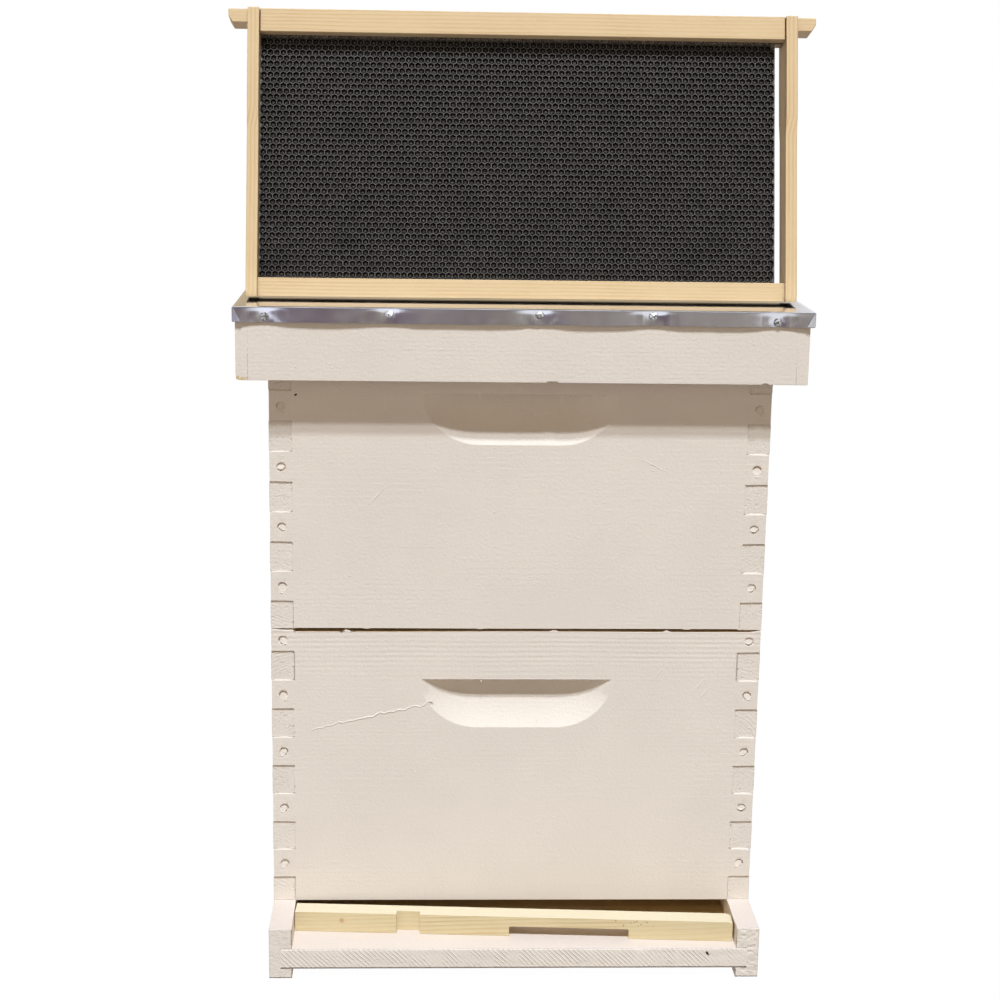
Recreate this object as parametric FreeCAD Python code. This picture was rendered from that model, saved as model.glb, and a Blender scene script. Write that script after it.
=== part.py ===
import FreeCAD, Part
import math
import os

# Two-deep, ten-frame Langstroth beehive with a telescoping cover and one deep frame
# standing on the cover. Millimetres, +Z up, the landing board faces -Y. The origin is on
# the ground, at the middle of the whole object's plan.
#
# The shapes below are made with the hive bodies centred on x = 0, y = 0. write_node moves
# each one along Y, so that the origin falls in the middle of the bounding box.

V = FreeCAD.Vector
INCH = 25.4

# ---- Driving dimensions: hive bodies ----
BODY_WIDTH = 16.25 * INCH
BODY_LENGTH = 19.875 * INCH
BODY_HEIGHT = 9.625 * INCH
BOARD = 0.75 * INCH
FINGER = 1.0 * INCH
FINGERS = 10
LOWER_TOP_FINGER = 19.6
UPPER_TOP_FINGER = 17.0
FINGER_GAP = 0.2
SIDE_FINGER_RECESS = 0.9
FRONT_FINGER_RECESS = 0.4
REST_DEPTH = 15.9
REST_SEAT = 9.525

# ---- Hand holds ----
HOLD_BELOW_TOP = 44.0
HOLD_HEIGHT = 42.4
HOLD_DEPTH = 11.2
HOLD_WHEEL_RADIUS = 100.0
HOLD_STRAIGHT_HALF = 34.0
# Where the hollow's back bends and bellies, as shares of its depth and of its height.
HOLD_BEND = (0.95, 0.32)
HOLD_BELLY = (0.51, 0.71)

# ---- Bottom board and entrance reducer ----
RAIL_HEIGHT = 1.75 * INCH
FLOOR_UNDERSIDE = 8.65
FLOOR_THICKNESS = 17.75
FLOOR_GROOVE = 9.5
FLOOR_BOARDS = 3
FLOOR_BOARD_GAP = 0.2
LANDING = 57.2
REDUCER_LENGTH = 373.4
REDUCER_HEIGHT = 17.8
REDUCER_DEPTH = 17.5
REDUCER_SKEW = 3.47
REDUCER_MIDDLE_X = -0.6
REDUCER_FRONT_Y = -286.05
REDUCER_SMALL_NOTCH = (-89.8, 19.8, 7.0)
REDUCER_LARGE_NOTCH = (47.4, 101.6, 8.7)

# ---- Inner and outer covers ----
INNER_COVER_THICKNESS = 0.75 * INCH
INNER_RIM_WIDTH = 1.75 * INCH
INNER_PANEL_THICKNESS = 6.35
INNER_PANEL_LAP = 9.5
INNER_HOLE = (101.6, 38.1)
COVER_WIDTH = 18.125 * INCH
COVER_LENGTH = 21.75 * INCH
COVER_DROP = 30.5
COVER_RABBET = 9.525
PANEL_THICKNESS = 9.525
METAL = 0.4
METAL_OVERHANG = 3.6
FLANGE_HEIGHT = 13.0

# ---- Frames ----
TOP_BAR_LENGTH = 19.0 * INCH
TOP_BAR_WIDTH = 27.0
TOP_BAR_HEIGHT = 19.05
NECK_WIDTH = 22.2
LUG_HEIGHT = 11.1
LUG_CHAMFER = (3.5, 5.5)
END_BAR_SPACING = 449.5
END_BAR_THICKNESS = 9.5
END_BAR_SHOULDER = 34.9
END_BAR_WAIST = 28.0
SHOULDER_LENGTH = 82.0
WAIST_TAPER = 16.0
FRAME_HEIGHT = 9.125 * INCH
BOTTOM_BAR_WIDTH = 19.05
BOTTOM_BAR_HEIGHT = 12.7
FOUNDATION_LENGTH = 423.8
FOUNDATION_THICKNESS = 4.4
FOUNDATION_TOP_GROOVE = 8.0
FOUNDATION_BOTTOM_GROOVE = 4.7
GROOVE_CLEARANCE = 0.1
FRAME_PITCH = 35.4
FRAME_SLOTS = 10
UPPER_FRAMES = 9
SHOWN_LEAN = 14.5
SHOWN_SETBACK = 66.0
SHOWN_CLEARANCE = 0.05

# ---- Nails: shank radius, length, head radius, head height ----
BOX_NAIL = (1.45, 57.0, 3.75, 1.2)
BOX_NAIL_INSET = 10.0
BOX_NAIL_RECESS = 0.5
FLOOR_NAIL = (1.3, 44.0, 3.2, 1.0)
COVER_NAIL = (1.2, 38.0, 2.6, 0.9)
PANEL_NAIL = (1.1, 30.0, 2.6, 0.8)
METAL_NAIL = (0.9, 19.0, 3.0, 1.1)
BRAD = (0.75, 30.0, 1.4, 0.7)
# Shares of the length that they hold, or distances from the end or the middle.
FLOOR_NAIL_PARTS = (0.22, 0.78)
REAR_RAIL_NAIL_PART = 0.78
REAR_RAIL_NAIL_INSET = 6.7
RIM_NAIL_PARTS = (0.18, 0.5, 0.82)
PANEL_NAIL_PARTS = (-0.55, 0.0, 0.55)
INNER_COVER_NAIL_INSETS = (9.0, 24.0)
BRAD_SPREAD = 13.0
METAL_NAILS_FRONT = (-208.0, -108.0, 12.0, 103.0, 204.0)
METAL_NAILS_SIDE = (-246.0, -118.0, 6.0, 131.0, 240.0)

# ---- Levels and faces worked out from the driving dimensions ----
HALF_WIDTH = BODY_WIDTH / 2
HALF_LENGTH = BODY_LENGTH / 2
INNER_HALF_WIDTH = HALF_WIDTH - BOARD
INNER_HALF_LENGTH = HALF_LENGTH - BOARD
LOWER_BASE = RAIL_HEIGHT
UPPER_BASE = LOWER_BASE + BODY_HEIGHT
STACK_TOP = UPPER_BASE + BODY_HEIGHT
INNER_COVER_TOP = STACK_TOP + INNER_COVER_THICKNESS
PANEL_TOP = INNER_COVER_TOP + PANEL_THICKNESS
METAL_TOP = PANEL_TOP + METAL
METAL_HALF_WIDTH = COVER_WIDTH / 2 + METAL_OVERHANG
METAL_HALF_LENGTH = COVER_LENGTH / 2 + METAL_OVERHANG
LANDING_FRONT = -HALF_LENGTH - LANDING
FLOOR_LEVELS = (FLOOR_UNDERSIDE, FLOOR_UNDERSIDE + FLOOR_THICKNESS)
NAIL_HEAD_BACK = METAL_HALF_LENGTH + METAL_NAIL[3]
CENTRE_SHIFT = V(0, -(LANDING_FRONT + NAIL_HEAD_BACK) / 2, 0)


# ---- Helpers ----
def block(x, y, z):
    """A block between two limits on each axis."""
    return Part.makeBox(x[1] - x[0], y[1] - y[0], z[1] - z[0], V(x[0], y[0], z[0]))


def span(centre, width):
    """The two limits of a width about its centre."""
    return (centre - width / 2, centre + width / 2)


def nail(size, head, direction):
    """A nail whose head's outer face is centred on head, driven along direction."""
    shank_radius, length, head_radius, head_height = size
    shank = Part.makeCylinder(shank_radius, length, head, direction)
    return shank.fuse(Part.makeCylinder(head_radius, head_height, head, direction))


def sunk_nail(size, surface, direction, recess):
    """A nail driven below a surface, and the cutter that makes room for it."""
    made = nail(size, surface + direction * recess, direction)
    return made, made.fuse(Part.makeCylinder(size[2], recess, surface, direction))


def extrude_outline(points, along):
    """A solid from a closed outline of points, pushed along a vector."""
    wire = Part.makePolygon(points + points[:1])
    return Part.Face(wire).extrude(along)


def turned(shape, degrees, centre=V(0, 0, 0), axis=V(0, 0, 1)):
    """A copy of a shape turned about an axis."""
    copy = shape.copy()
    copy.rotate(centre, axis, degrees)
    return copy


def moved(shape, x, y, z):
    """A copy of a shape moved by x, y and z."""
    copy = shape.copy()
    copy.translate(V(x, y, z))
    return copy


def write_node(name, shape):
    """Writes one node, moved so that the origin is in the middle of the plan."""
    placed = shape.copy()
    placed.translate(CENTRE_SHIFT)
    placed.exportStep(os.path.join("parts", name + ".step"))


# ---- Bottom board ----
def floor_rail(side):
    """A side rail, grooved on its inner face for the floor. side is -1 left, 1 right."""
    outer = side * HALF_WIDTH
    inner = side * INNER_HALF_WIDTH
    depth = inner + side * FLOOR_GROOVE
    rail = block(sorted((outer, inner)), (LANDING_FRONT, HALF_LENGTH), (0, RAIL_HEIGHT))
    return rail.cut(block(sorted((inner, depth)), (LANDING_FRONT, HALF_LENGTH), FLOOR_LEVELS))


def rear_floor_rail():
    """The cross rail that closes the hive at the back, between the side rails."""
    front = HALF_LENGTH - BOARD
    rail = block((-INNER_HALF_WIDTH, INNER_HALF_WIDTH), (front, HALF_LENGTH), (0, RAIL_HEIGHT))
    groove = (front, front + FLOOR_GROOVE)
    return rail.cut(block((-INNER_HALF_WIDTH, INNER_HALF_WIDTH), groove, FLOOR_LEVELS))


def floor_boards():
    """The floor's boards, front to back, let into the grooves."""
    half = INNER_HALF_WIDTH + FLOOR_GROOVE
    back = HALF_LENGTH - BOARD + FLOOR_GROOVE
    pitch = (back - LANDING_FRONT + FLOOR_BOARD_GAP) / FLOOR_BOARDS
    boards = []
    for i in range(FLOOR_BOARDS):
        front = LANDING_FRONT + i * pitch
        board = block((-half, half), (front, front + pitch - FLOOR_BOARD_GAP), FLOOR_LEVELS)
        boards.append(board)
    last = boards[-1]
    for side in (-1, 1):
        corner = sorted((side * INNER_HALF_WIDTH, side * half))
        last = last.cut(block(corner, (HALF_LENGTH - BOARD, HALF_LENGTH), FLOOR_LEVELS))
    boards[-1] = last
    return boards


def floor_nail_places():
    """Where nails go through the side rails: into each floor board and the rear rail."""
    level = sum(FLOOR_LEVELS) / 2
    pitch = (INNER_HALF_LENGTH - LANDING_FRONT) / FLOOR_BOARDS
    places = []
    for i in range(FLOOR_BOARDS):
        for part in FLOOR_NAIL_PARTS:
            places.append((LANDING_FRONT + (i + part) * pitch, level))
    places.append((HALF_LENGTH - REAR_RAIL_NAIL_INSET, RAIL_HEIGHT * REAR_RAIL_NAIL_PART))
    return places


def bottom_board():
    """The reversible bottom board with its nails."""
    nails = []
    for side in (-1, 1):
        for y, z in floor_nail_places():
            nails.append(nail(FLOOR_NAIL, V(side * HALF_WIDTH, y, z), V(-side, 0, 0)))
    boards = floor_boards()
    write_node("left_floor_rail", floor_rail(-1).cut(nails))
    write_node("right_floor_rail", floor_rail(1).cut(nails))
    write_node("rear_floor_rail", rear_floor_rail().cut(nails))
    for name, board in zip(("front", "middle", "rear"), boards):
        write_node("floor_board_" + name, board.cut(nails))
    write_node("floor_nails", Part.makeCompound(nails))


def entrance_reducer():
    """The loose notched cleat that narrows the entrance, askew on the landing."""
    half = REDUCER_LENGTH / 2
    cleat = block((-half, half), (0, REDUCER_DEPTH), (0, REDUCER_HEIGHT))
    centre, width, depth = REDUCER_SMALL_NOTCH
    cleat = cleat.cut(block(span(centre, width), (0, depth), (0, REDUCER_HEIGHT)))
    centre, width, height = REDUCER_LARGE_NOTCH
    cleat = cleat.cut(block(span(centre, width), (0, REDUCER_DEPTH), (0, height)))
    cleat = turned(cleat, -REDUCER_SKEW)
    write_node("entrance_reducer", moved(cleat, REDUCER_MIDDLE_X, REDUCER_FRONT_Y, FLOOR_LEVELS[1]))


# ---- Hive bodies ----
def finger_levels(base, top_finger):
    """The joint's fingers from the top down, as (low, high). Even ones are the front's."""
    levels = [(base + BODY_HEIGHT - top_finger, base + BODY_HEIGHT)]
    while len(levels) < FINGERS - 1:
        high = levels[-1][0]
        levels.append((high - FINGER, high))
    levels.append((base, levels[-1][0]))
    return levels


def finger_span(level, base):
    """A finger's own limits: half the joint's gap is left at each of its inner faces."""
    low, high = level
    if low > base:
        low += FINGER_GAP / 2
    if high < base + BODY_HEIGHT:
        high -= FINGER_GAP / 2
    return (low, high)


def hand_hold():
    """The wheel-cut hand hold, centred on x = 0 with its top at z = 0, cut towards +Y."""
    offset = HOLD_WHEEL_RADIUS - HOLD_DEPTH
    rim = V(HOLD_WHEEL_RADIUS, 0, 0)
    bend = V(offset + HOLD_DEPTH * HOLD_BEND[0], 0, -HOLD_HEIGHT * HOLD_BEND[1])
    belly = V(offset + HOLD_DEPTH * HOLD_BELLY[0], 0, -HOLD_HEIGHT * HOLD_BELLY[1])
    foot = V(offset, 0, -HOLD_HEIGHT)
    edges = [
        Part.LineSegment(V(0, 0, 0), rim).toShape(),
        Part.LineSegment(rim, bend).toShape(),
        Part.Arc(bend, belly, foot).toShape(),
        Part.LineSegment(foot, V(0, 0, -HOLD_HEIGHT)).toShape(),
        Part.LineSegment(V(0, 0, -HOLD_HEIGHT), V(0, 0, 0)).toShape(),
    ]
    profile = Part.Face(Part.Wire(edges))
    wheel = profile.revolve(V(0, 0, 0), V(0, 0, 1), 360)
    slot = turned(profile, 90)
    slot.translate(V(-HOLD_STRAIGHT_HALF, -offset, 0))
    shape = slot.extrude(V(2 * HOLD_STRAIGHT_HALF, 0, 0))
    for x in (-HOLD_STRAIGHT_HALF, HOLD_STRAIGHT_HALF):
        shape = shape.fuse(moved(wheel, x, -offset, 0))
    return shape


def end_board(base, levels):
    """The front board of a hive body. The back one is the same, turned round."""
    faces = (-HALF_LENGTH, -INNER_HALF_LENGTH)
    board = block((-INNER_HALF_WIDTH, INNER_HALF_WIDTH), faces, (base, base + BODY_HEIGHT))
    reach = HALF_WIDTH - FRONT_FINGER_RECESS
    fingers = [
        block((-reach, reach), faces, finger_span(level, base)) for level in levels[::2]
    ]
    board = board.multiFuse(fingers).removeSplitter()
    seat = (-INNER_HALF_LENGTH - REST_SEAT, -INNER_HALF_LENGTH)
    rest = (base + BODY_HEIGHT - REST_DEPTH, base + BODY_HEIGHT)
    board = board.cut(block((-INNER_HALF_WIDTH, INNER_HALF_WIDTH), seat, rest))
    top = base + BODY_HEIGHT - HOLD_BELOW_TOP
    return board.cut(moved(hand_hold(), 0, -HALF_LENGTH, top))


def side_board(base, levels):
    """The left board of a hive body. The right one is the same, turned round."""
    faces = (-HALF_WIDTH, -INNER_HALF_WIDTH)
    board = block(faces, (-INNER_HALF_LENGTH, INNER_HALF_LENGTH), (base, base + BODY_HEIGHT))
    reach = HALF_LENGTH - SIDE_FINGER_RECESS
    fingers = [
        block(faces, (-reach, reach), finger_span(level, base)) for level in levels[1::2]
    ]
    board = board.multiFuse(fingers).removeSplitter()
    top = base + BODY_HEIGHT - HOLD_BELOW_TOP
    return board.cut(moved(turned(hand_hold(), -90), -HALF_WIDTH, 0, top))


def body_nails(levels):
    """One nail through each finger, at all four corners: the nails and their cutters."""
    nails = []
    cutters = []
    for across in (-1, 1):
        for along in (-1, 1):
            for i, (low, high) in enumerate(levels):
                level = (low + high) / 2
                if i % 2 == 0:
                    x = across * (HALF_WIDTH - BOX_NAIL_INSET)
                    surface = V(x, along * HALF_LENGTH, level)
                    direction = V(0, -along, 0)
                else:
                    y = along * (HALF_LENGTH - BOX_NAIL_INSET)
                    surface = V(across * HALF_WIDTH, y, level)
                    direction = V(-across, 0, 0)
                made, cutter = sunk_nail(BOX_NAIL, surface, direction, BOX_NAIL_RECESS)
                nails.append(made)
                cutters.append(cutter)
    return nails, cutters


def hive_body(name, base, top_finger):
    """One deep hive body: four boards with finger joints, hand holds and frame rests."""
    levels = finger_levels(base, top_finger)
    nails, cutters = body_nails(levels)
    front = end_board(base, levels)
    left = side_board(base, levels)
    boards = {
        "front": front,
        "back": turned(front, 180),
        "left": left,
        "right": turned(left, 180),
    }
    for side, board in boards.items():
        write_node(name + "_" + side, board.cut(cutters))
    write_node(name + "_nails", Part.makeCompound(nails))


# ---- Frames ----
def top_bar():
    """A frame's top bar: full section between the end bars, a neck and a lug at each end."""
    inner = END_BAR_SPACING / 2 - END_BAR_THICKNESS
    low = FRAME_HEIGHT - TOP_BAR_HEIGHT
    bar = block((-inner, inner), span(0, TOP_BAR_WIDTH), (low, FRAME_HEIGHT))
    neck_end = END_BAR_SPACING / 2
    tip = TOP_BAR_LENGTH / 2
    lug_low = FRAME_HEIGHT - LUG_HEIGHT
    chamfer_x, chamfer_z = LUG_CHAMFER
    outline = [
        (0, low),
        (neck_end, low),
        (neck_end, lug_low),
        (tip - chamfer_x, lug_low),
        (tip, lug_low + chamfer_z),
        (tip, FRAME_HEIGHT),
        (0, FRAME_HEIGHT),
    ]
    for side in (-1, 1):
        points = [V(side * x, -NECK_WIDTH / 2, z) for x, z in outline]
        bar = bar.fuse(extrude_outline(points, V(0, NECK_WIDTH, 0)))
    groove = span(0, FOUNDATION_THICKNESS + 2 * GROOVE_CLEARANCE)
    bar = bar.removeSplitter()
    return bar.cut(block((-inner, inner), groove, (low, low + FOUNDATION_TOP_GROOVE)))


def end_bar(side):
    """A self-spacing end bar, forked at the top for the neck and slotted at the foot."""
    wide = END_BAR_SHOULDER / 2
    narrow = END_BAR_WAIST / 2
    shoulder = FRAME_HEIGHT - SHOULDER_LENGTH
    half = [(narrow, 0), (narrow, shoulder - WAIST_TAPER), (wide, shoulder), (wide, FRAME_HEIGHT)]
    mirrored = [(-y, z) for y, z in reversed(half)]
    middle = side * (END_BAR_SPACING - END_BAR_THICKNESS) / 2
    start = middle - END_BAR_THICKNESS / 2
    points = [V(start, y, z) for y, z in half + mirrored]
    bar = extrude_outline(points, V(END_BAR_THICKNESS, 0, 0))
    limits = span(middle, END_BAR_THICKNESS)
    fork = (FRAME_HEIGHT - TOP_BAR_HEIGHT, FRAME_HEIGHT)
    bar = bar.cut(block(limits, span(0, NECK_WIDTH), fork))
    return bar.cut(block(limits, span(0, BOTTOM_BAR_WIDTH), (0, BOTTOM_BAR_HEIGHT)))


def bottom_bar():
    """The grooved bottom bar, its ends let into the end bars."""
    half = END_BAR_SPACING / 2
    bar = block((-half, half), span(0, BOTTOM_BAR_WIDTH), (0, BOTTOM_BAR_HEIGHT))
    inner = half - END_BAR_THICKNESS
    groove = span(0, FOUNDATION_THICKNESS + 2 * GROOVE_CLEARANCE)
    floor = BOTTOM_BAR_HEIGHT - FOUNDATION_BOTTOM_GROOVE
    return bar.cut(block((-inner, inner), groove, (floor, BOTTOM_BAR_HEIGHT)))


def foundation():
    """The sheet of foundation, pushed up against the left end bar."""
    left = -END_BAR_SPACING / 2 + END_BAR_THICKNESS + GROOVE_CLEARANCE
    low = BOTTOM_BAR_HEIGHT - FOUNDATION_BOTTOM_GROOVE + GROOVE_CLEARANCE
    high = FRAME_HEIGHT - TOP_BAR_HEIGHT + FOUNDATION_TOP_GROOVE - GROOVE_CLEARANCE
    return block((left, left + FOUNDATION_LENGTH), span(0, FOUNDATION_THICKNESS), (low, high))


def frame_brads():
    """Two brads down through each neck and two up through each end of the bottom bar."""
    brads = []
    middle = (END_BAR_SPACING - END_BAR_THICKNESS) / 2
    for side in (-1, 1):
        for y in span(0, BRAD_SPREAD):
            brads.append(nail(BRAD, V(side * middle, y, FRAME_HEIGHT), V(0, 0, -1)))
            brads.append(nail(BRAD, V(side * middle, y, 0), V(0, 0, 1)))
    return brads


def deep_frame():
    """A deep frame's pieces, standing on z = 0 with its length along X."""
    return {
        "top_bar": top_bar(),
        "left_end_bar": end_bar(-1),
        "right_end_bar": end_bar(1),
        "bottom_bar": bottom_bar(),
        "foundation": foundation(),
    }


def hanging_frames(name, base, count):
    """The frames that hang by their lugs in a hive body, each one a node of five solids."""
    pieces = Part.makeCompound(list(deep_frame().values()))
    level = base + BODY_HEIGHT - REST_DEPTH + LUG_HEIGHT - FRAME_HEIGHT
    for i in range(count):
        x = (i - (FRAME_SLOTS - 1) / 2) * FRAME_PITCH
        frame = moved(turned(pieces, 90), x, 0, level)
        write_node(name + "_frame_" + str(i + 1), frame)


def shown_frame():
    """The frame standing on the cover, leaning back, with its brads."""
    pieces = deep_frame()
    brads = frame_brads()
    made = {name: shape.cut(brads) for name, shape in pieces.items()}
    made["nails"] = Part.makeCompound(brads)
    lean = math.radians(SHOWN_LEAN)
    lift = END_BAR_WAIST / 2 * math.sin(lean) + SHOWN_CLEARANCE
    foot = -METAL_HALF_LENGTH + SHOWN_SETBACK - END_BAR_WAIST / 2 * math.cos(lean)
    for name, shape in made.items():
        leaned = turned(shape, -SHOWN_LEAN, axis=V(1, 0, 0))
        write_node("shown_frame_" + name, moved(leaned, 0, foot, METAL_TOP + lift))


# ---- Inner cover ----
def inner_cover():
    """The flat board under the outer cover: a grooved rim round a thin panel."""
    levels = (STACK_TOP, INNER_COVER_TOP)
    panel_low = STACK_TOP + (INNER_COVER_THICKNESS - INNER_PANEL_THICKNESS) / 2
    panel_levels = (panel_low, panel_low + INNER_PANEL_THICKNESS)
    inner_x = HALF_WIDTH - INNER_RIM_WIDTH
    inner_y = HALF_LENGTH - INNER_RIM_WIDTH
    panel_x = inner_x + INNER_PANEL_LAP
    panel_y = inner_y + INNER_PANEL_LAP
    sheet = block((-panel_x, panel_x), (-panel_y, panel_y), panel_levels)
    length, width = INNER_HOLE
    straight = length - width
    hole = block(span(0, straight), span(0, width), panel_levels)
    for x in span(0, straight):
        hole = hole.fuse(Part.makeCylinder(width / 2, INNER_PANEL_THICKNESS, V(x, 0, panel_low)))
    rims = {
        "left": block((-HALF_WIDTH, -inner_x), (-HALF_LENGTH, HALF_LENGTH), levels),
        "right": block((inner_x, HALF_WIDTH), (-HALF_LENGTH, HALF_LENGTH), levels),
        "front": block((-inner_x, inner_x), (-HALF_LENGTH, -inner_y), levels),
        "back": block((-inner_x, inner_x), (inner_y, HALF_LENGTH), levels),
    }
    level = sum(levels) / 2
    nails = []
    for side in (-1, 1):
        for along in (-1, 1):
            for inset in INNER_COVER_NAIL_INSETS:
                head = V(side * HALF_WIDTH, along * (HALF_LENGTH - inset), level)
                nails.append(nail(BOX_NAIL, head, V(-side, 0, 0)))
    for name, rim in rims.items():
        write_node("inner_cover_" + name + "_rim", rim.cut([sheet] + nails))
    write_node("inner_cover_panel", sheet.cut(hole.removeSplitter()))
    write_node("inner_cover_nails", Part.makeCompound(nails))


# ---- Outer cover ----
def cover_rims():
    """The four rim boards. The side boards' ends are rabbeted to take the cross boards."""
    half_width = COVER_WIDTH / 2
    half_length = COVER_LENGTH / 2
    levels = (STACK_TOP - COVER_DROP, INNER_COVER_TOP)
    cross = half_width - COVER_RABBET
    rims = {
        "front": block((-cross, cross), (-half_length, -half_length + BOARD), levels),
        "back": block((-cross, cross), (half_length - BOARD, half_length), levels),
    }
    ends = [rims["front"], rims["back"]]
    for name, side in (("left", -1), ("right", 1)):
        limits = sorted((side * half_width, side * (half_width - BOARD)))
        rims[name] = block(limits, (-half_length, half_length), levels).cut(ends)
    return rims


def rim_nails():
    """Three nails across each rim corner, and the nails that hold the panel down."""
    nails = []
    half_width = COVER_WIDTH / 2
    half_length = COVER_LENGTH / 2
    for side in (-1, 1):
        for along in (-1, 1):
            for part in RIM_NAIL_PARTS:
                z = STACK_TOP - COVER_DROP + part * (INNER_COVER_TOP - STACK_TOP + COVER_DROP)
                head = V(side * half_width, along * (half_length - BOARD / 2), z)
                nails.append(nail(COVER_NAIL, head, V(-side, 0, 0)))
    for side in (-1, 1):
        for part in PANEL_NAIL_PARTS:
            x = side * (half_width - BOARD / 2)
            nails.append(nail(PANEL_NAIL, V(x, part * half_length, PANEL_TOP), V(0, 0, -1)))
            y = side * (half_length - BOARD / 2)
            nails.append(nail(PANEL_NAIL, V(part * half_width, y, PANEL_TOP), V(0, 0, -1)))
    return nails


def metal_nails():
    """The nails through the folded edge of the sheet into the panel's edges."""
    level = (METAL_TOP - FLANGE_HEIGHT + METAL_TOP) / 2
    proud = METAL_NAIL[3]
    nails = []
    for side in (-1, 1):
        for x in METAL_NAILS_FRONT:
            head = V(-side * x, side * (METAL_HALF_LENGTH + proud), level)
            nails.append(nail(METAL_NAIL, head, V(0, -side, 0)))
        for y in METAL_NAILS_SIDE:
            head = V(side * (METAL_HALF_WIDTH + proud), side * y, level)
            nails.append(nail(METAL_NAIL, head, V(-side, 0, 0)))
    return nails


def cover_metal():
    """The sheet over the cover, folded down round all four edges of the panel."""
    levels = (METAL_TOP - FLANGE_HEIGHT, METAL_TOP)
    x = METAL_HALF_WIDTH
    y = METAL_HALF_LENGTH
    tray = block((-x, x), (-y, y), levels)
    hollow = block((METAL - x, x - METAL), (METAL - y, y - METAL), (levels[0], PANEL_TOP))
    return tray.cut(hollow)


def outer_cover():
    """The telescoping cover: rim, panel, sheet metal and nails."""
    half_width = COVER_WIDTH / 2
    half_length = COVER_LENGTH / 2
    corner_nails = rim_nails()
    edge_nails = metal_nails()
    levels = (INNER_COVER_TOP, PANEL_TOP)
    panel = block((-half_width, half_width), (-half_length, half_length), levels)
    for name, rim in cover_rims().items():
        write_node("outer_cover_" + name + "_rim", rim.cut(corner_nails))
    write_node("outer_cover_panel", panel.cut(corner_nails + edge_nails))
    write_node("outer_cover_metal", cover_metal().cut(edge_nails))
    write_node("outer_cover_rim_nails", Part.makeCompound(corner_nails))
    write_node("outer_cover_metal_nails", Part.makeCompound(edge_nails))


os.makedirs("parts", exist_ok=True)
bottom_board()
entrance_reducer()
hive_body("lower_body", LOWER_BASE, LOWER_TOP_FINGER)
hive_body("upper_body", UPPER_BASE, UPPER_TOP_FINGER)
hanging_frames("lower", LOWER_BASE, FRAME_SLOTS)
hanging_frames("upper", UPPER_BASE, UPPER_FRAMES)
inner_cover()
outer_cover()
shown_frame()
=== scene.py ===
import math
import random

import bmesh
import bpy
from mathutils import Matrix, Vector, noise


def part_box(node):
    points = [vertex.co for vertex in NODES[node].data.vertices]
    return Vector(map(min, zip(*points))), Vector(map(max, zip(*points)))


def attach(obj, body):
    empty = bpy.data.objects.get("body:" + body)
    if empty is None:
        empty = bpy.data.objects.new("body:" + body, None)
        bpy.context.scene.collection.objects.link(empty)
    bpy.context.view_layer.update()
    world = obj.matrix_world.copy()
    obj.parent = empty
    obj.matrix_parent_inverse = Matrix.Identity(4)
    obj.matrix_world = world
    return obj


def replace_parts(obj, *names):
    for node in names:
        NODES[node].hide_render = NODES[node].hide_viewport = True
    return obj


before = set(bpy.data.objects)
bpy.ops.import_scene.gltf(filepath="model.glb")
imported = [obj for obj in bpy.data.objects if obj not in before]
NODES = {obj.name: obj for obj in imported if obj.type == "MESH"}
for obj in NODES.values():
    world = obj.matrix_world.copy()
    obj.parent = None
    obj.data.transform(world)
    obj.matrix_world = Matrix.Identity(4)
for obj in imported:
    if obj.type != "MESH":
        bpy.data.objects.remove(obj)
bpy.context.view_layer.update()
MM = 0.001


def mm(x, y, z):
    """A vector given in millimetres."""
    return Vector((x, y, z)) * MM


# ---- What the scene is driven by: millimetres are written as n * MM, or mm(x, y, z) ----
CAMERA_PLACE = mm(-80.5, -1800.7, 755.7)
CAMERA_YAW = 2.374
CAMERA_PITCH = 12.903
CAMERA_ROLL = 0.915
CAMERA_LENS = 69.2

# Colours, linear. A wood is a pair, its pale early wood and its dark late wood.
PAINT = (0.80, 0.712, 0.630)
PAINT_DIRT = (0.62, 0.53, 0.45)
# Painted shade: TOP_SHADE darkens the paint's upward faces.
TOP_SHADE = (0.865, 0.835, 0.845)
FRAME_PINE = ((0.685, 0.500, 0.288), (0.54, 0.335, 0.145))
CLEAT_PINE = ((0.705, 0.580, 0.355), (0.55, 0.39, 0.19))
BARE_PINE = ((0.72, 0.56, 0.33), (0.56, 0.37, 0.18))
# Painted light: TOP_LIT_PINE pales the cleat's upward faces.
TOP_LIT_PINE = (0.70, 0.615, 0.465)
# Painted shade: SHADED_PINE, near black, where the frame's wood is closed in.
SHADED_PINE = (0.03, 0.018, 0.01)
KNOT = (0.50, 0.27, 0.09)
PLASTIC = ((0.070, 0.062, 0.056), (0.400, 0.362, 0.330))
# Painted shadow: PLASTIC_SHADOW fills the foundation's cells under their upper walls.
PLASTIC_SHADOW = (0.004, 0.0035, 0.003)
PLASTIC_RIM = (0.010, 0.009, 0.008)
SHEET = ((0.74, 0.73, 0.76), (0.84, 0.83, 0.85))
# Painted shade: SHEET_SHADED darkens the sheet where other parts close it in.
SHEET_SHADED = (0.06, 0.05, 0.045)
NAIL = ((0.42, 0.40, 0.37), (0.78, 0.76, 0.72))
OLD_NAIL = ((0.16, 0.15, 0.13), (0.62, 0.60, 0.56))
# Painted shade: near black for the inside of small holes; also the colour of ingrown specks.
HOLE_SHADE_AND_SPECK = ((0.012, 0.006, 0.003), (0.06, 0.03, 0.015))

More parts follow.
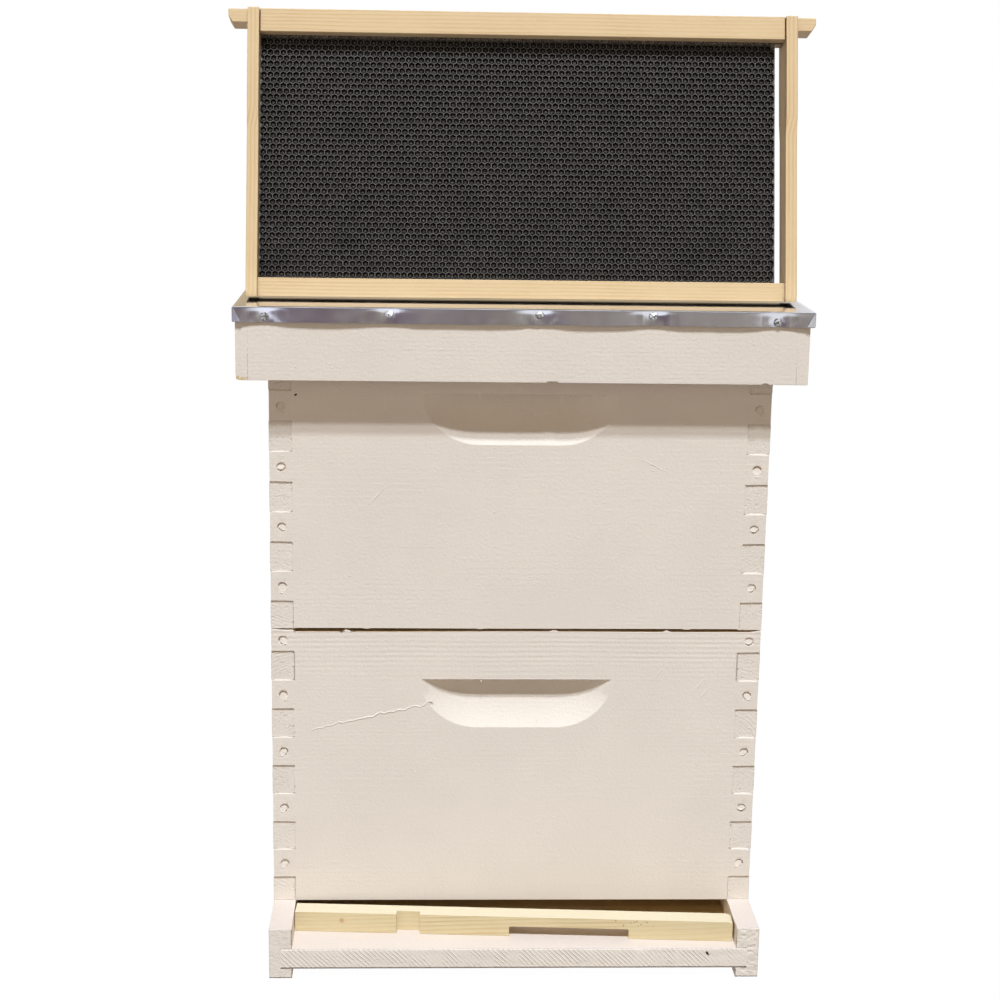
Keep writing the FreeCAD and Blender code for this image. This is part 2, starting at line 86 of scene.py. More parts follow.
# Wood: rings and saw marks, edges, and how deep the paint goes into a joint.
RING = 3.4 * MM
END_RING = 3.0 * MM
SAW_STEP = 4.2 * MM
GRAIN_STEP = 4.3 * MM
RAISED_GRAIN = 52 * MM
FINE_GRID = 0.95 * MM
BOARD_EDGE = 0.4 * MM
SHOWN_EDGE = 0.8 * MM
SHARP = math.radians(38)
HAIR = 0.1 * MM
PAINT_DEPTH = 1.25 * MM
LANDING = 46 * MM
GRAINS = {"front": (1, 0, 0), "back": (1, 0, 0), "left": (0, 1, 0), "right": (0, 1, 0)}

# A hand hold's painted hollow, and the seam between the boxes, open most at its left end.
HOLD_HALF = 86 * MM
HOLD_DEPTH = 11.6 * MM
HOLD_BELOW = 40 * MM
FACE_DEPTH = 13 * MM
SEAM = (2.6, 1.1)
SEAM_ENDS = (1.1, 1.7)
SEAM_BRIDGES = (-143 * MM, 31 * MM, 126 * MM)

# The sheet over the cover: its thickness, bend, play, and the way its front edge is drawn down.
SHEET_GAUGE = 0.4 * MM
BEND = 0.5 * MM
PLAY = 0.7 * MM
SHEET_DRAW = 75 * MM
SHEET_SLOPE = 0.13
# A dent's depth and width in millimetres at the nail, along the flange, and in its creases.
DENT = ((1.5, 4.6), (0.8, 15), (0.55, 7))
DEEPEST_DENT = 2.3
# The folded tab's outline, as millimetres across and down.
TAB = ((-0.4, 0.6), (0.6, 1.0), (3.2, 6.0), (6.4, 12.2), (-0.4, 12.4))

# Frames and reducer. SPARE keeps the standing frame inside its CAD box.
CELL_PITCH = 5.25 * MM
CELL_BASE = 0.35 * MM
SPARE = 0.06 * MM
SHRINK = 0.9985
UNDERSIDE = 6.5 * MM
WEDGE_KEPT = 0.4
REDUCER_TURN = math.radians(-3.47)
REDUCER_KNOT = ((-147 * MM, 31.2 * MM, 44 * MM), 2.8 * MM)

# ---- Light ----
AMBIENT = (0.345, 0.274, 0.176)
AMBIENT_LEVEL = 1.5
AMBIENT_ABOVE = 0.1
ROOM_FRONT = ((0.165, 0.125, 0.150), (0.300, 0.272, 0.245))
ROOM_BEHIND = (0.50, 0.40, 0.255)
ROOM_CORNER = (0.60, 0.47, 0.29)
ROOM_LEFT = (1.05, 1.10, 1.25)
ROOM_ROUND = (0.90, 0.92, 0.96)
FLOOR_SIZE = 30.0
FLOOR_SEEN = 0.95
FLOOR_GLOW = 0.985
FLOOR_BOUNCE = (0.315, 0.275, 0.250)
# Each lamp in front: its elevation and azimuth in degrees, its width and its power.
KEYS = ((59.0, 0.0, 3.0, 1.82), (63.8, 0.0, 3.0, 2.10))
KEY_TINT = (0.885, 0.98, 1.07)
FILL = (12.0, -40.0, 2.4, 7.6)
FILL_TINT = (1.0, 0.92, 0.80)
LAMP_REACH = 3.6
LAMP_AIM = 0.45
LIGHT_WAY = Vector((0.0, -0.5, 0.87))

HIVE_Y = sum(v.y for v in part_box("upper_body_left")) / 2
BODY_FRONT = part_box("upper_body_front")[0].y
BODY_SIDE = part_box("upper_body_right")[1].x
BODY_BOARD = BODY_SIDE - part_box("upper_body_right")[0].x


# ---- Node trees ----
class Shader:
    """A material's node tree, built one node at a time."""

    def __init__(self, name):
        self.material = bpy.data.materials.new(name)
        self.material.use_nodes = True
        self.tree = self.material.node_tree
        self.surface = self.tree.nodes["Principled BSDF"]
        self.place = self.add("ShaderNodeTexCoord").outputs["Object"]

    def add(self, kind, inputs=None, **settings):
        node = self.tree.nodes.new(kind)
        for key, value in settings.items():
            setattr(node, key, value)
        for key, value in (inputs or {}).items():
            self.feed(node, key, value)
        return node

    def feed(self, node, key, value):
        if isinstance(value, bpy.types.NodeSocket):
            self.tree.links.new(value, node.inputs[key])
        else:
            node.inputs[key].default_value = value

    def finish(self, **inputs):
        for key, value in inputs.items():
            self.feed(self.surface, key.replace("_", " "), value)
        return self.material

    def scaled(self, vector, scale, rotation=(0, 0, 0), location=(0, 0, 0)):
        turn = {"Vector": vector, "Scale": scale, "Rotation": rotation, "Location": location}
        return self.add("ShaderNodeMapping", turn).outputs[0]

    def noise(self, vector, size, detail=2.0, roughness=0.5, distortion=0.0):
        """Noise whose features are about size millimetres across."""
        inputs = {"Vector": vector, "Scale": 1.0 / (size * MM), "Detail": detail}
        inputs.update({"Roughness": roughness, "Distortion": distortion})
        return self.add("ShaderNodeTexNoise", inputs).outputs["Fac"]

    def maths(self, operation, a, b=0.0, clamp=False):
        node = self.add("ShaderNodeMath", {0: a, 1: b}, operation=operation)
        node.use_clamp = clamp
        return node.outputs[0]

    def times(self, a, b):
        return self.maths("MULTIPLY", a, b)

    def remap(self, value, low, high, to_low=0.0, to_high=1.0):
        inputs = {"Value": value, 1: low, 2: high, 3: to_low, 4: to_high}
        return self.add("ShaderNodeMapRange", inputs, interpolation_type="SMOOTHSTEP").outputs[0]

    def patches(self, vector, size, low, high, to_low=0.0, to_high=1.0, detail=2.0):
        """Noise spread from one level to another: flat below low and above high."""
        return self.remap(self.noise(vector, size, detail), low, high, to_low, to_high)

    def upward(self):
        """How far the surface faces up."""
        facing = self.add("ShaderNodeNewGeometry").outputs["Normal"]
        return self.add("ShaderNodeSeparateXYZ", {0: facing}).outputs["Z"]

    def open_sky(self, distance, inputs=None, **settings):
        """How open the surface is, as far as a distance: 0 in a deep crack, 1 in the open."""
        inputs = {"Distance": distance, **(inputs or {})}
        return self.add("ShaderNodeAmbientOcclusion", inputs, samples=6, **settings).outputs["AO"]

    def mix(self, amount, a, b, blend="MIX"):
        node = self.add("ShaderNodeMix", data_type="RGBA", blend_type=blend)
        self.feed(node, 0, amount)
        for key, value in ((6, a), (7, b)):
            self.feed(node, key, (*value, 1.0) if isinstance(value, tuple) else value)
        return node.outputs[2]

    def bump(self, height, depth, normal=None):
        """A bump whose height of 1 stands depth millimetres."""
        node = self.add("ShaderNodeBump", {"Height": height, "Distance": depth * MM})
        if normal is not None:
            self.feed(node, "Normal", normal)
        return node.outputs[0]


def growth_rings(shader, place, spacing, wander=0.055):
    """Annual rings round the local X axis, pale to dark outwards, wandering along the grain."""
    inputs = {"Vector": shader.scaled(place, (wander, 1.0, 1.0)), "Scale": math.pi / (10 * spacing)}
    inputs.update({"Distortion": 4.5, "Detail": 2.0, "Detail Scale": 0.35, "Detail Roughness": 0.55})
    wave = shader.add("ShaderNodeTexWave", inputs, wave_type="RINGS", rings_direction="X")
    wave.wave_profile = "SAW"
    return wave.outputs["Fac"]


def pine_colour(shader, place, spacing, colours, wander):
    """Bare pine's colour, from pale early wood to dark late wood, and its ring pattern."""
    pale, dark = colours
    rings = growth_rings(shader, place, spacing, wander)
    late = shader.remap(rings, 0.35, 1.0)
    late = shader.times(late, shader.remap(rings, 1.0, 0.93))
    fibres = shader.noise(shader.scaled(place, (0.06, 1.0, 1.0)), 0.5, 2.0, 0.6)
    drift = shader.patches(shader.scaled(place, (0.25, 1.0, 1.0)), 22, 0.3, 0.75, 0.25, 0.95)
    amount = shader.times(late, drift)
    colour = shader.mix(amount, pale, dark)
    streak = shader.remap(fibres, 0.35, 0.75, 0.0, 0.26)
    colour = shader.mix(streak, colour, dark)
    patch = shader.patches(place, 60, 0.35, 0.7, 0.0, 0.30, detail=1.0)
    return shader.mix(patch, colour, tuple(c * 1.06 for c in pale)), rings, fibres


def pine(name, colours=BARE_PINE, turn=(0, 0, 0), offset=(0, 0, 0), spacing=RING, wander=0.055,
         knots=(), top_light=0.0, shade_below=False):
    """Planed bare pine. turn brings the grain onto the local X axis; knots are (place, radius);
    top_light is how far its upward faces are painted paler, painted light on the top. shade_below adds
    painted shade, near black, where the wood is closed in."""
    shader = Shader(name)
    place = shader.scaled(shader.place, (1, 1, 1), turn, offset)
    colour, rings, fibres = pine_colour(shader, place, spacing, colours, wander)
    for centre, radius in knots:
        reach = shader.add("ShaderNodeVectorMath", {0: place, 1: centre}, operation="DISTANCE")
        ragged = shader.maths("ADD", reach.outputs["Value"], shader.times(fibres, radius))
        amber = shader.remap(ragged, radius * 0.6, radius * 1.7, 0.85, 0.0)
        colour = shader.mix(amber, colour, KNOT)
    # Painted shade: the wood turns near black where other parts close it in, as under the standing
    # frame's bars.
    if shade_below:
        light = shader.remap(shader.open_sky(12 * MM), 0.2, 0.55)
        colour = shader.mix(light, SHADED_PINE, colour)
    # Painted light: upward faces turn paler.
    if top_light:
        colour = shader.mix(shader.remap(shader.upward(), 0.5, 0.95, 0.0, top_light), colour, TOP_LIT_PINE)
    relief = shader.bump(rings, 0.05)
    relief = shader.bump(fibres, 0.06, relief)
    rough = shader.remap(fibres, 0.2, 0.8, 0.50, 0.66)
    return shader.finish(Base_Color=colour, Roughness=rough, Normal=relief)


def painted(name, rings=0.05, pores=0.0, sawn=0.0, peel=0.32):
    """Cream house paint rolled over pine. The depths of the relief under it are in millimetres:
    raised rings, open pores and pits of end grain, and the marks of a saw."""
    shader = Shader(name)
    place = shader.place
    spacing = RING * (0.68 if pores else 0.9)
    along = shader.scaled(place, (0.3, 1.0, 1.0))
    show = shader.patches(along, 30, 0.35, 0.68, 0.15, 1.0, detail=1.0)
    ridges = shader.times(growth_rings(shader, place, spacing), show)
    relief = shader.bump(ridges, rings)
    if pores:
        open_pores = shader.noise(place, 1.5, 3.0, 0.65)
        relief = shader.bump(open_pores, pores, relief)
        floor_of_pit = shader.patches(place, 2.6, 0.60, 0.70, 1.0, 0.0, detail=1.0)
        relief = shader.bump(floor_of_pit, 1.1 * pores, relief)
    if sawn:
        inputs = {"Vector": shader.scaled(place, (1.0, 0.0, 1.0)), "Scale": 0.2 * math.pi / SAW_STEP}
        inputs.update({"Distortion": 3.0, "Detail": 2.0, "Detail Scale": 0.25})
        marks = shader.add("ShaderNodeTexWave", inputs, wave_type="BANDS", bands_direction="DIAGONAL")
        worn = shader.patches(place, 14, 0.38, 0.62, 0.1, 1.0)
        lines = shader.times(shader.remap(marks.outputs["Fac"], 0.55, 1.0), worn)
        relief = shader.bump(lines, sawn, relief)
        relief = shader.bump(shader.noise(place, 1.2), 0.5 * sawn, relief)
    orange = shader.noise(place, 2.6, 3.0, 0.66)
    relief = shader.bump(orange, peel, relief)
    cells = shader.add("ShaderNodeTexVoronoi", {"Vector": place, "Scale": 1 / (17 * MM)})
    nib = shader.remap(cells.outputs["Distance"], 0.0, 0.055, 1.0, 0.0)
    relief = shader.bump(nib, 0.3, relief)
    tone = shader.patches(place, 90, 0.35, 0.65)
    colour = shader.mix(tone, tuple(c * 0.985 for c in PAINT), tuple(c * 1.015 for c in PAINT))
    speck = shader.patches(place, 2.6, 0.70, 0.80, 0.0, 0.06, detail=1.0)
    colour = shader.mix(speck, colour, PAINT_DIRT)
    # Painted shade: faces that look up are darkened, more the further up they face.
    shaded_top = shader.mix(1.0, colour, TOP_SHADE, "MULTIPLY")
    colour = shader.mix(shader.remap(shader.upward(), 0.35, 0.95), colour, shaded_top)
    rough = shader.remap(orange, 0.3, 0.7, 0.42, 0.56)
    return shader.finish(Base_Color=colour, Roughness=rough, Normal=relief, Specular_IOR_Level=0.35)


def galvanised(name, lit_level=1.0, dull=0.0):
    """Thin bright sheet: cloudy, faintly scratched, and drawn down a little along its front edge.
    Painted shade darkens it where other parts close it in, and a lit_level below 1 makes a darker copy
    of it, painted shade on the bend.
    """
    shader = Shader(name)
    place = shader.place
    y = shader.add("ShaderNodeSeparateXYZ", {0: place}).outputs["Y"]
    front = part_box("outer_cover_metal")[0].y
    inward = shader.maths("DIVIDE", shader.maths("SUBTRACT", y, front), SHEET_DRAW, clamp=True)
    square = shader.times(shader.times(inward, inward), 0.5)
    rise = shader.maths("SUBTRACT", inward, square)
    relief = shader.bump(rise, SHEET_DRAW / MM * SHEET_SLOPE)
    cloud = shader.noise(place, 26, 3.0, 0.6)
    scratch = shader.noise(shader.scaled(place, (0.05, 1.0, 1.0)), 0.8, 2.0)
    colour = shader.mix(cloud, *SHEET)
    colour = shader.mix(1.0, colour, (lit_level,) * 3, "MULTIPLY")
    # Painted shade: the sheet goes dark where other parts close it in, as under the standing frame's
    # bottom bar.
    light = shader.remap(shader.open_sky(5 * MM), 0.2, 0.5)
    colour = shader.mix(light, SHEET_SHADED, colour)
    rough = shader.remap(cloud, 0.3, 0.7, 0.13 + dull, 0.20 + dull)
    relief = shader.bump(scratch, 0.010, relief)
    relief = shader.bump(cloud, 0.06, relief)
    return shader.finish(Base_Color=colour, Metallic=1.0, Roughness=rough, Normal=relief)


def bright_steel(name, colours):
    """Nail steel, with dull patches."""
    shader = Shader(name)
    dull = shader.noise(shader.place, 1.6, 2.0)
    colour = shader.mix(shader.remap(dull, 0.3, 0.7), *colours)
    rough = shader.remap(dull, 0.3, 0.7, 0.22, 0.42)
    relief = shader.bump(dull, 0.10)
    return shader.finish(Base_Color=colour, Metallic=1.0, Roughness=rough, Normal=relief)


def black_plastic(name, cells=True):
    """Foundation plastic with a patchy film of wax, and, if it has cells, painted shadow in them under
    their upper walls, which also dims their gloss.
    """
    shader = Shader(name)
    place = shader.place
    wax = shader.noise(place, 30, 4.0, 0.65, 0.4)
    film = shader.remap(wax, 0.35, 0.70)
    fine = shader.noise(place, 1.1, 2.0)
    thick = shader.remap(wax, 0.2, 0.6, 0.4, 1.0)
    mottle = shader.times(shader.remap(fine, 0.35, 0.7), thick)
    colour = shader.mix(mottle if cells else 0.15, *PLASTIC)
    gloss = 0.3
    if cells:
        # Painted shadow: colour and gloss go near black where the cell walls block the way towards the
        # keys.
        light = shader.open_sky(4.5 * MM, {"Normal": LIGHT_WAY}, only_local=True)
        shade = shader.remap(light, 0.55, 0.87)
        level = shader.add("ShaderNodeSeparateXYZ", {0: place}).outputs["Y"]
        rim = shader.remap(shader.maths("ABSOLUTE", level), 1.1 * MM, 2.2 * MM, 0.0, 0.6)
        colour = shader.mix(rim, colour, PLASTIC_RIM)
        colour = shader.mix(shade, PLASTIC_SHADOW, colour)
        gloss = shader.times(shade, gloss)
    rough = shader.maths("SUBTRACT", 0.55, shader.times(film, 0.22))
    relief = shader.bump(fine, 0.10)
    return shader.finish(Base_Color=colour, Roughness=rough, Normal=relief, Specular_IOR_Level=gloss)


def painted_hole_shade_and_speck(name):
    """Painted shade for the inside of a small hole, and the near-black colour of an ingrown speck."""
    shader = Shader(name)
    fleck = shader.noise(shader.place, 0.4)
    colour = shader.mix(fleck, *HOLE_SHADE_AND_SPECK)
    return shader.finish(Base_Color=colour, Roughness=0.9)


ALONG_Y = (0, 0, math.radians(-90))
ALONG_Z = (0, math.radians(90), 0)
MATERIALS = {
    "paint": painted("painted_pine"),
    "paint_end": painted("painted_end_grain", rings=0.10, pores=0.20),
    "paint_sawn": painted("painted_saw_marks", sawn=0.26, pores=0.12),
    "pine": pine("bare_pine"),
    "frame_pine": pine("frame_pine", FRAME_PINE, spacing=2.5 * MM, wander=0.11, shade_below=True),
    "cleat_pine": pine(
        "cleat_pine", CLEAT_PINE, spacing=2.9 * MM, wander=0.19, knots=(REDUCER_KNOT,), top_light=0.7
    ),
    "pine_x": pine("bare_pine_across", BARE_PINE, (0, 0, 0), (0, 0.03, 0.04)),
    "pine_y": pine("bare_pine_along", BARE_PINE, ALONG_Y, (0, 0.03, 0.04)),
    "pine_z": pine("bare_pine_upright", BARE_PINE, ALONG_Z, (0, 0.03, 0.04)),
    "plywood": pine("plywood", BARE_PINE, ALONG_Y, (0, 0, 0.25), 9 * MM),
    "metal": galvanised("galvanised_sheet"),
    # A darker, rougher copy of the sheet for its bend: painted shade that dims the bend's highlight.
    "metal_bend_shaded": galvanised("galvanised_bend_shaded", 0.34, 0.40),
    "steel": bright_steel("bright_steel", NAIL),
    "old_steel": bright_steel("old_steel", OLD_NAIL),
    "plastic": black_plastic("foundation_plastic"),
    "plain_plastic": black_plastic("plain_foundation_plastic", cells=False),
    # The hole material: painted shade inside pinholes, and the colour of the cleat's ingrown specks.
    "hole": painted_hole_shade_and_speck("painted_hole_shade_and_speck"),
}


# ---- Mesh helpers ----
def node_bmesh(name):
    """A CAD node's mesh, welded, with its flat faces whole again."""
    bm = bmesh.new()
    bm.from_mesh(NODES[name].data)
    bmesh.ops.remove_doubles(bm, verts=bm.verts, dist=0.002 * MM)
    bmesh.ops.dissolve_limit(bm, angle_limit=math.radians(0.5), verts=bm.verts, edges=bm.edges)
    return bm


def soften(bm, width, keep_sharp=None, longest=1.6 * MM, segments=2):
    """Rounds the sharp outward edges, leaving small holes and the edges inside a joint alone."""
    edges = []
    for edge in bm.edges:
        if edge.is_manifold and edge.is_convex and edge.calc_length() > longest:
            middle = (edge.verts[0].co + edge.verts[1].co) / 2
            inside_joint = keep_sharp is not None and keep_sharp(middle)
            if edge.calc_face_angle() > math.radians(25) and not inside_joint:
                edges.append(edge)
    bmesh.ops.bevel(
        bm, geom=edges, offset=width, segments=segments, profile=0.6, affect="EDGES", clamp_overlap=False
    )


def slice_up(bm, axis, places, chosen=None):
    """Cuts the chosen faces (all, if none are named) at each place along an axis."""
    normal = Vector((0, 0, 0))
    normal[axis] = 1.0
    for place in places:
        faces = [f for f in bm.faces if chosen is None or chosen(f)]
        geom = set(faces)
        for face in faces:
            geom.update(face.edges)
            geom.update(face.verts)
        bmesh.ops.bisect_plane(
            bm, geom=list(geom), plane_co=normal * place, plane_no=normal, dist=0.01 * MM
        )


def steps(low, high, size):
    """Evenly spaced places strictly between two limits, about size apart."""
    count = max(1, round((high - low) / size))
    return [low + (high - low) * i / count for i in range(1, count)]


def at_front(limit):
    """A test for faces that look forward and lie before a limit."""
    return lambda f: f.normal.y < -0.9 and f.calc_center_median().y < limit


def front_grid(bm, width, height, limit, size, rise=None):
    """Cuts the forward faces into a grid: width and height are its (low, high)."""
    slice_up(bm, 0, steps(*width, size), at_front(limit))
    slice_up(bm, 2, steps(*height, rise or size), at_front(limit))


def new_piece(name, bm, body, materials, world=None):
    """Makes an object from a bmesh built in the row frame and rides it on a body."""
    mesh = bpy.data.meshes.new(name)
    for face in bm.faces:
        face.smooth = True
    if world is not None:
        bm.transform(world.inverted())
    bm.to_mesh(mesh)
    bm.free()
    mesh.set_sharp_from_angle(angle=SHARP)
    piece = bpy.data.objects.new(name, mesh)
    bpy.context.scene.collection.objects.link(piece)
    if world is not None:
        piece.matrix_world = world
    for key in materials:
        mesh.materials.append(MATERIALS[key])
    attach(piece, body)
    return piece


def weighted(piece):
    """Keeps the broad faces flat next to the rounded edges."""
    modifier = piece.modifiers.new("flat_faces", "WEIGHTED_NORMAL")
    modifier.keep_sharp = True
    modifier.weight = 90


def grain_frame(pith, along):
    """A frame whose X axis runs along the grain and whose origin is on the pith."""
    x = Vector(along).normalized()
    helper = Vector((0, 0, 1)) if abs(x.z) < 0.9 else Vector((0, 1, 0))
    y = helper.cross(x).normalized()
    z = x.cross(y)
    world = Matrix((x, y, z)).transposed().to_4x4()
    world.translation = pith
    return world


def timber(name, body, grain, pith, edge=BOARD_EDGE, shape=None, is_painted=None, wood="pine",
           end="paint_end", is_end=None, keep_sharp=None):
    """A wooden piece that stands for the CAD node: softened edges, its own grain, and paint where
    it shows, rougher where is_end says so, or across the grain."""
    bm = node_bmesh(name)
    soften(bm, edge, keep_sharp)
    if shape:
        shape(bm)
    bm.normal_update()
    along = Vector(grain).normalized()
    if is_painted:
        for face in bm.faces:
            place = face.calc_center_median()
            across = is_end(place, face.normal) if is_end else abs(face.normal.dot(along)) > 0.7
            if is_painted(place, face.normal):
                face.material_index = 2 if across else 1
    world = grain_frame(pith, grain)
    piece = new_piece(name + "_timber", bm, body, (wood, "paint", end), world)
    weighted(piece)
    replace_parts(piece, name)


# ---- Shaping helpers ----
def wobble(bm, size, amount, seed):
    """Moves every vertex a little, in soft waves about size across."""
    shift = Vector((seed * 1.7, seed * 0.9, seed * 2.3))
    for vert in bm.verts:
        vert.co += noise.noise_vector(vert.co / size + shift) * amount


def ripple(x, z, size, seed=0):
    """Soft noise over an upright face, its waves about size across."""
    return noise.noise(Vector((x, seed, z)) / size)


def bump_at(distance, width):
    """A smooth hill of height 1 at distance 0, gone by about twice the width."""
    return math.exp(-((distance / width) ** 2))


def islands(name):
    """The separate solids of a CAD node, each a list of points."""
    bm = node_bmesh(name)
    left = set(bm.verts)
    found = []
    for start in bm.verts:
        if start not in left:
            continue
        left.remove(start)
        stack = [start]
        island = []
        while stack:
            vert = stack.pop()
            island.append(vert.co.copy())
            for edge in vert.link_edges:
                other = edge.other_vert(vert)
                if other in left:
                    left.remove(other)
                    stack.append(other)
        found.append(island)
    bm.free()
    return found


def nail_heads(name):
    """Each nail of a CAD node: the middle of its head, its outward way, length and head radius."""
    heads = []
    for points in islands(name):
        middle = sum(points, Vector()) / len(points)
        far = max(points, key=lambda p: (p - middle).length)
        ends = sorted(points, key=lambda p: (p - far).length)
        axis = (ends[-1] - far).normalized()
        for _ in range(3):
            along = [(p - middle).dot(axis) for p in points]
            low = [p for p, a in zip(points, along) if a < min(along) + 0.2 * MM]
            high = [p for p, a in zip(points, along) if a > max(along) - 0.2 * MM]
            foot = sum(low, Vector()) / len(low)
            tip = sum(high, Vector()) / len(high)
            axis = (tip - foot).normalized()
        wide_foot = max((p - foot).length for p in low)
        wide_tip = max((p - tip).length for p in high)
        if wide_foot > wide_tip:
            heads.append((foot, -axis, (tip - foot).length, wide_foot))
        else:
            heads.append((tip, axis, (tip - foot).length, wide_tip))
    return sorted(heads, key=lambda h: tuple(round(c, 4) for c in h[0]))


def turned_profile(bm, profile, place, outward, turns=20):
    """Adds a turned solid: profile holds (radius, height) from its tip down to its foot."""
    spin = outward.to_track_quat("Z", "Y").to_matrix().to_4x4()
    spin.translation = place
    rings = []
    for radius, height in profile:
        if radius == 0:
            rings.append([bm.verts.new(spin @ Vector((0, 0, height)))])
            continue
        ring = []
        for i in range(turns):
            angle = 2 * math.pi * i / turns
            point = Vector((radius * math.cos(angle), radius * math.sin(angle), height))
            ring.append(bm.verts.new(spin @ point))
        rings.append(ring)
    for upper, lower in zip(rings, rings[1:]):
        for i in range(turns):
            j = (i + 1) % turns
            if len(upper) == 1:
                bm.faces.new((upper[0], lower[i], lower[j]))
            elif len(lower) == 1:
                bm.faces.new((upper[j], upper[i], lower[0]))
            else:
                bm.faces.new((upper[i], lower[i], lower[j], upper[j]))


def nails(name, body, material, dome, rng, tilt=4.0, shank=0.4, sunk=(0.0, 0.0), upward=0.0,
          swell=1.0):
    """Domed nails in the places of a CAD node's nails, each a little out of true and sunk."""
    bm = bmesh.new()
    for place, outward, length, radius in nail_heads(name):
        place = place - outward * rng.uniform(*sunk)
        radius *= swell
        lean = Vector((rng.uniform(-1, 1), rng.uniform(-1, 1), rng.uniform(-1, 1)))
        axis = outward + lean * math.sin(math.radians(tilt)) + Vector((0, 0, upward))
        axis.normalize()
        profile = [(0, dome)]
        for i in range(1, 5):
            angle = math.pi / 2 * i / 4
            edge = radius * (0.78 + 0.22 * math.sin(angle)) * (i / 4 if i < 3 else 1)
            profile.append((edge, dome * math.cos(angle) - 0.12 * MM * (i == 4)))
        profile += [(radius, -0.5 * MM), (radius * shank, -0.9 * MM)]
        profile += [(radius * shank, -length + 2.5 * MM), (0, -length)]
        turned_profile(bm, profile, place - outward * dome, axis)
    bm.normal_update()
    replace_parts(new_piece(name + "_driven", bm, body, (material,)), name)


# ---- Hive bodies ----
def outside(side, top):
    """Whether a face of a hive body board is painted: its outer face, end grain and hand hold."""
    axis, sign, surface = {
        "front": (1, -1, BODY_FRONT),
        "back": (1, 1, 2 * HIVE_Y - BODY_FRONT),
        "left": (0, -1, -BODY_SIDE),
        "right": (0, 1, BODY_SIDE),
    }[side]
    across = 1 - axis
    centre = HIVE_Y if across == 1 else 0.0
    reach = (BODY_SIDE if across == 0 else HIVE_Y - BODY_FRONT) - PAINT_DEPTH - 0.05 * MM

    def test(place, normal):
        depth = (surface - place[axis]) * sign
        offset = abs(place[across] - centre)
        limit = FACE_DEPTH if normal[axis] * sign > 0.3 else PAINT_DEPTH + 0.05 * MM
        in_hold = offset < HOLD_HALF and depth < HOLD_DEPTH and place.z < top - HOLD_BELOW
        return depth < limit or offset > reach or in_hold

    return test


def mark_paint(bm):
    """Cuts a board's faces along the lines where the paint on its edges ends."""
    across = BODY_SIDE - PAINT_DEPTH
    slice_up(bm, 0, (-across, across))
    slice_up(bm, 1, (BODY_FRONT + PAINT_DEPTH, 2 * HIVE_Y - BODY_FRONT - PAINT_DEPTH))


def inside_corner(place):
    """Whether an upright edge lies inside a corner joint, at the foot of the fingers."""
    inside_x = abs(abs(place.x) - BODY_SIDE + BODY_BOARD) < 0.1 * MM
    inside_y = abs(abs(place.y - HIVE_Y) - HIVE_Y + BODY_FRONT + BODY_BOARD) < 0.1 * MM
    return inside_x or inside_y


def seam_gap(x):
    """How far a box's front edge stands off the next one: widest at the left, bridged in places."""
    reach = BODY_SIDE - BODY_BOARD
    if abs(x) > reach + 0.5 * MM:
        ends = SEAM_ENDS[x >= 0]
        return ends * min(1.0, (BODY_SIDE - abs(x)) / (9 * MM)) * MM
    share = (x + reach) / (2 * reach)
    gap = (SEAM[0] - SEAM[1] * share + 0.20 * math.sin(9 * share)) * MM
    for bridge in SEAM_BRIDGES:
        gap *= 1 - 0.9 * bump_at(x - bridge, 2.2 * MM)
    return gap


def end_grain(pith, side):
    """The shape of a side board: its front ends raised in rings round the pith, and pitted."""
    near = BODY_FRONT + 2 * MM
    sign = -1 if side == "left" else 1

    def shape(bm):
        mark_paint(bm)
        low = min(v.co.z for v in bm.verts)
        high = max(v.co.z for v in bm.verts)
        across_joint = BODY_SIDE - BODY_BOARD
        across = sorted((sign * across_joint, sign * BODY_SIDE))
        front_grid(bm, across, (low, high), near, FINE_GRID)
        faces = [f for f in bm.faces if at_front(near)(f)]
        start = min(v.co.y for f in faces for v in f.verts)
        for vert in {v for f in faces for v in f.verts}:
            if vert.co.y > start + 0.05 * MM or abs(abs(vert.co.x) - across_joint) < 0.6 * MM:
                continue
            x, z = vert.co.x, vert.co.z
            sway = 1.6 * ripple(x, z, 14 * MM, 2) * MM
            reach = math.hypot(x - pith.x, z - pith.z) + sway
            ring = 0.5 + 0.5 * math.cos(2 * math.pi * reach / END_RING)
            bold = max(0.0, 0.35 + 1.3 * ripple(x, z, 24 * MM, 6))
            fleck = abs(ripple(x, z, 1.3 * MM))
            vert.co.y += (0.30 * ring * min(1.0, bold) + 0.35 * fleck) * MM

    return shape


def shape_front(name, top):
    """The front board's own shape: a hollow edge at the seam, and raised grain near the top."""
    lower = name == "lower_body"
    reach = BODY_SIDE - BODY_BOARD
    edge_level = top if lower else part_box(name + "_front")[0].z
    raised_from = top - RAISED_GRAIN

    def shape(bm):
        mark_paint(bm)
        slice_up(bm, 0, steps(-BODY_SIDE, BODY_SIDE, 2.6 * MM), lambda f: abs(f.normal.x) < 0.9)
        if lower:
            levels = steps(raised_from, top - 1.2 * MM, FINE_GRID)
            slice_up(bm, 2, levels, at_front(BODY_FRONT + HAIR))
        for vert in bm.verts:
            x, y, z = vert.co
            if abs(z - edge_level) < 0.8 * MM and (lower or abs(x) < reach - 0.1 * MM):
                vert.co.z += -seam_gap(x) if lower else 0.4 * seam_gap(-x)
            if lower and y < BODY_FRONT + 0.02 * MM and z < top - 1.0 * MM:
                fade = min(1.0, max(0.0, (z - raised_from) / (30 * MM)))
                sway = noise.noise(Vector((x * 9, 0, z * 12))) * 0.9
                ridge = math.sin((top - z) / GRAIN_STEP * 2 * math.pi + sway * 3)
                low = 0.5 + 0.5 * noise.noise(Vector((x * 22, 3.0, z * 80)))
                vert.co.y += (0.16 - 0.14 * ridge) * low * fade * MM

    return shape


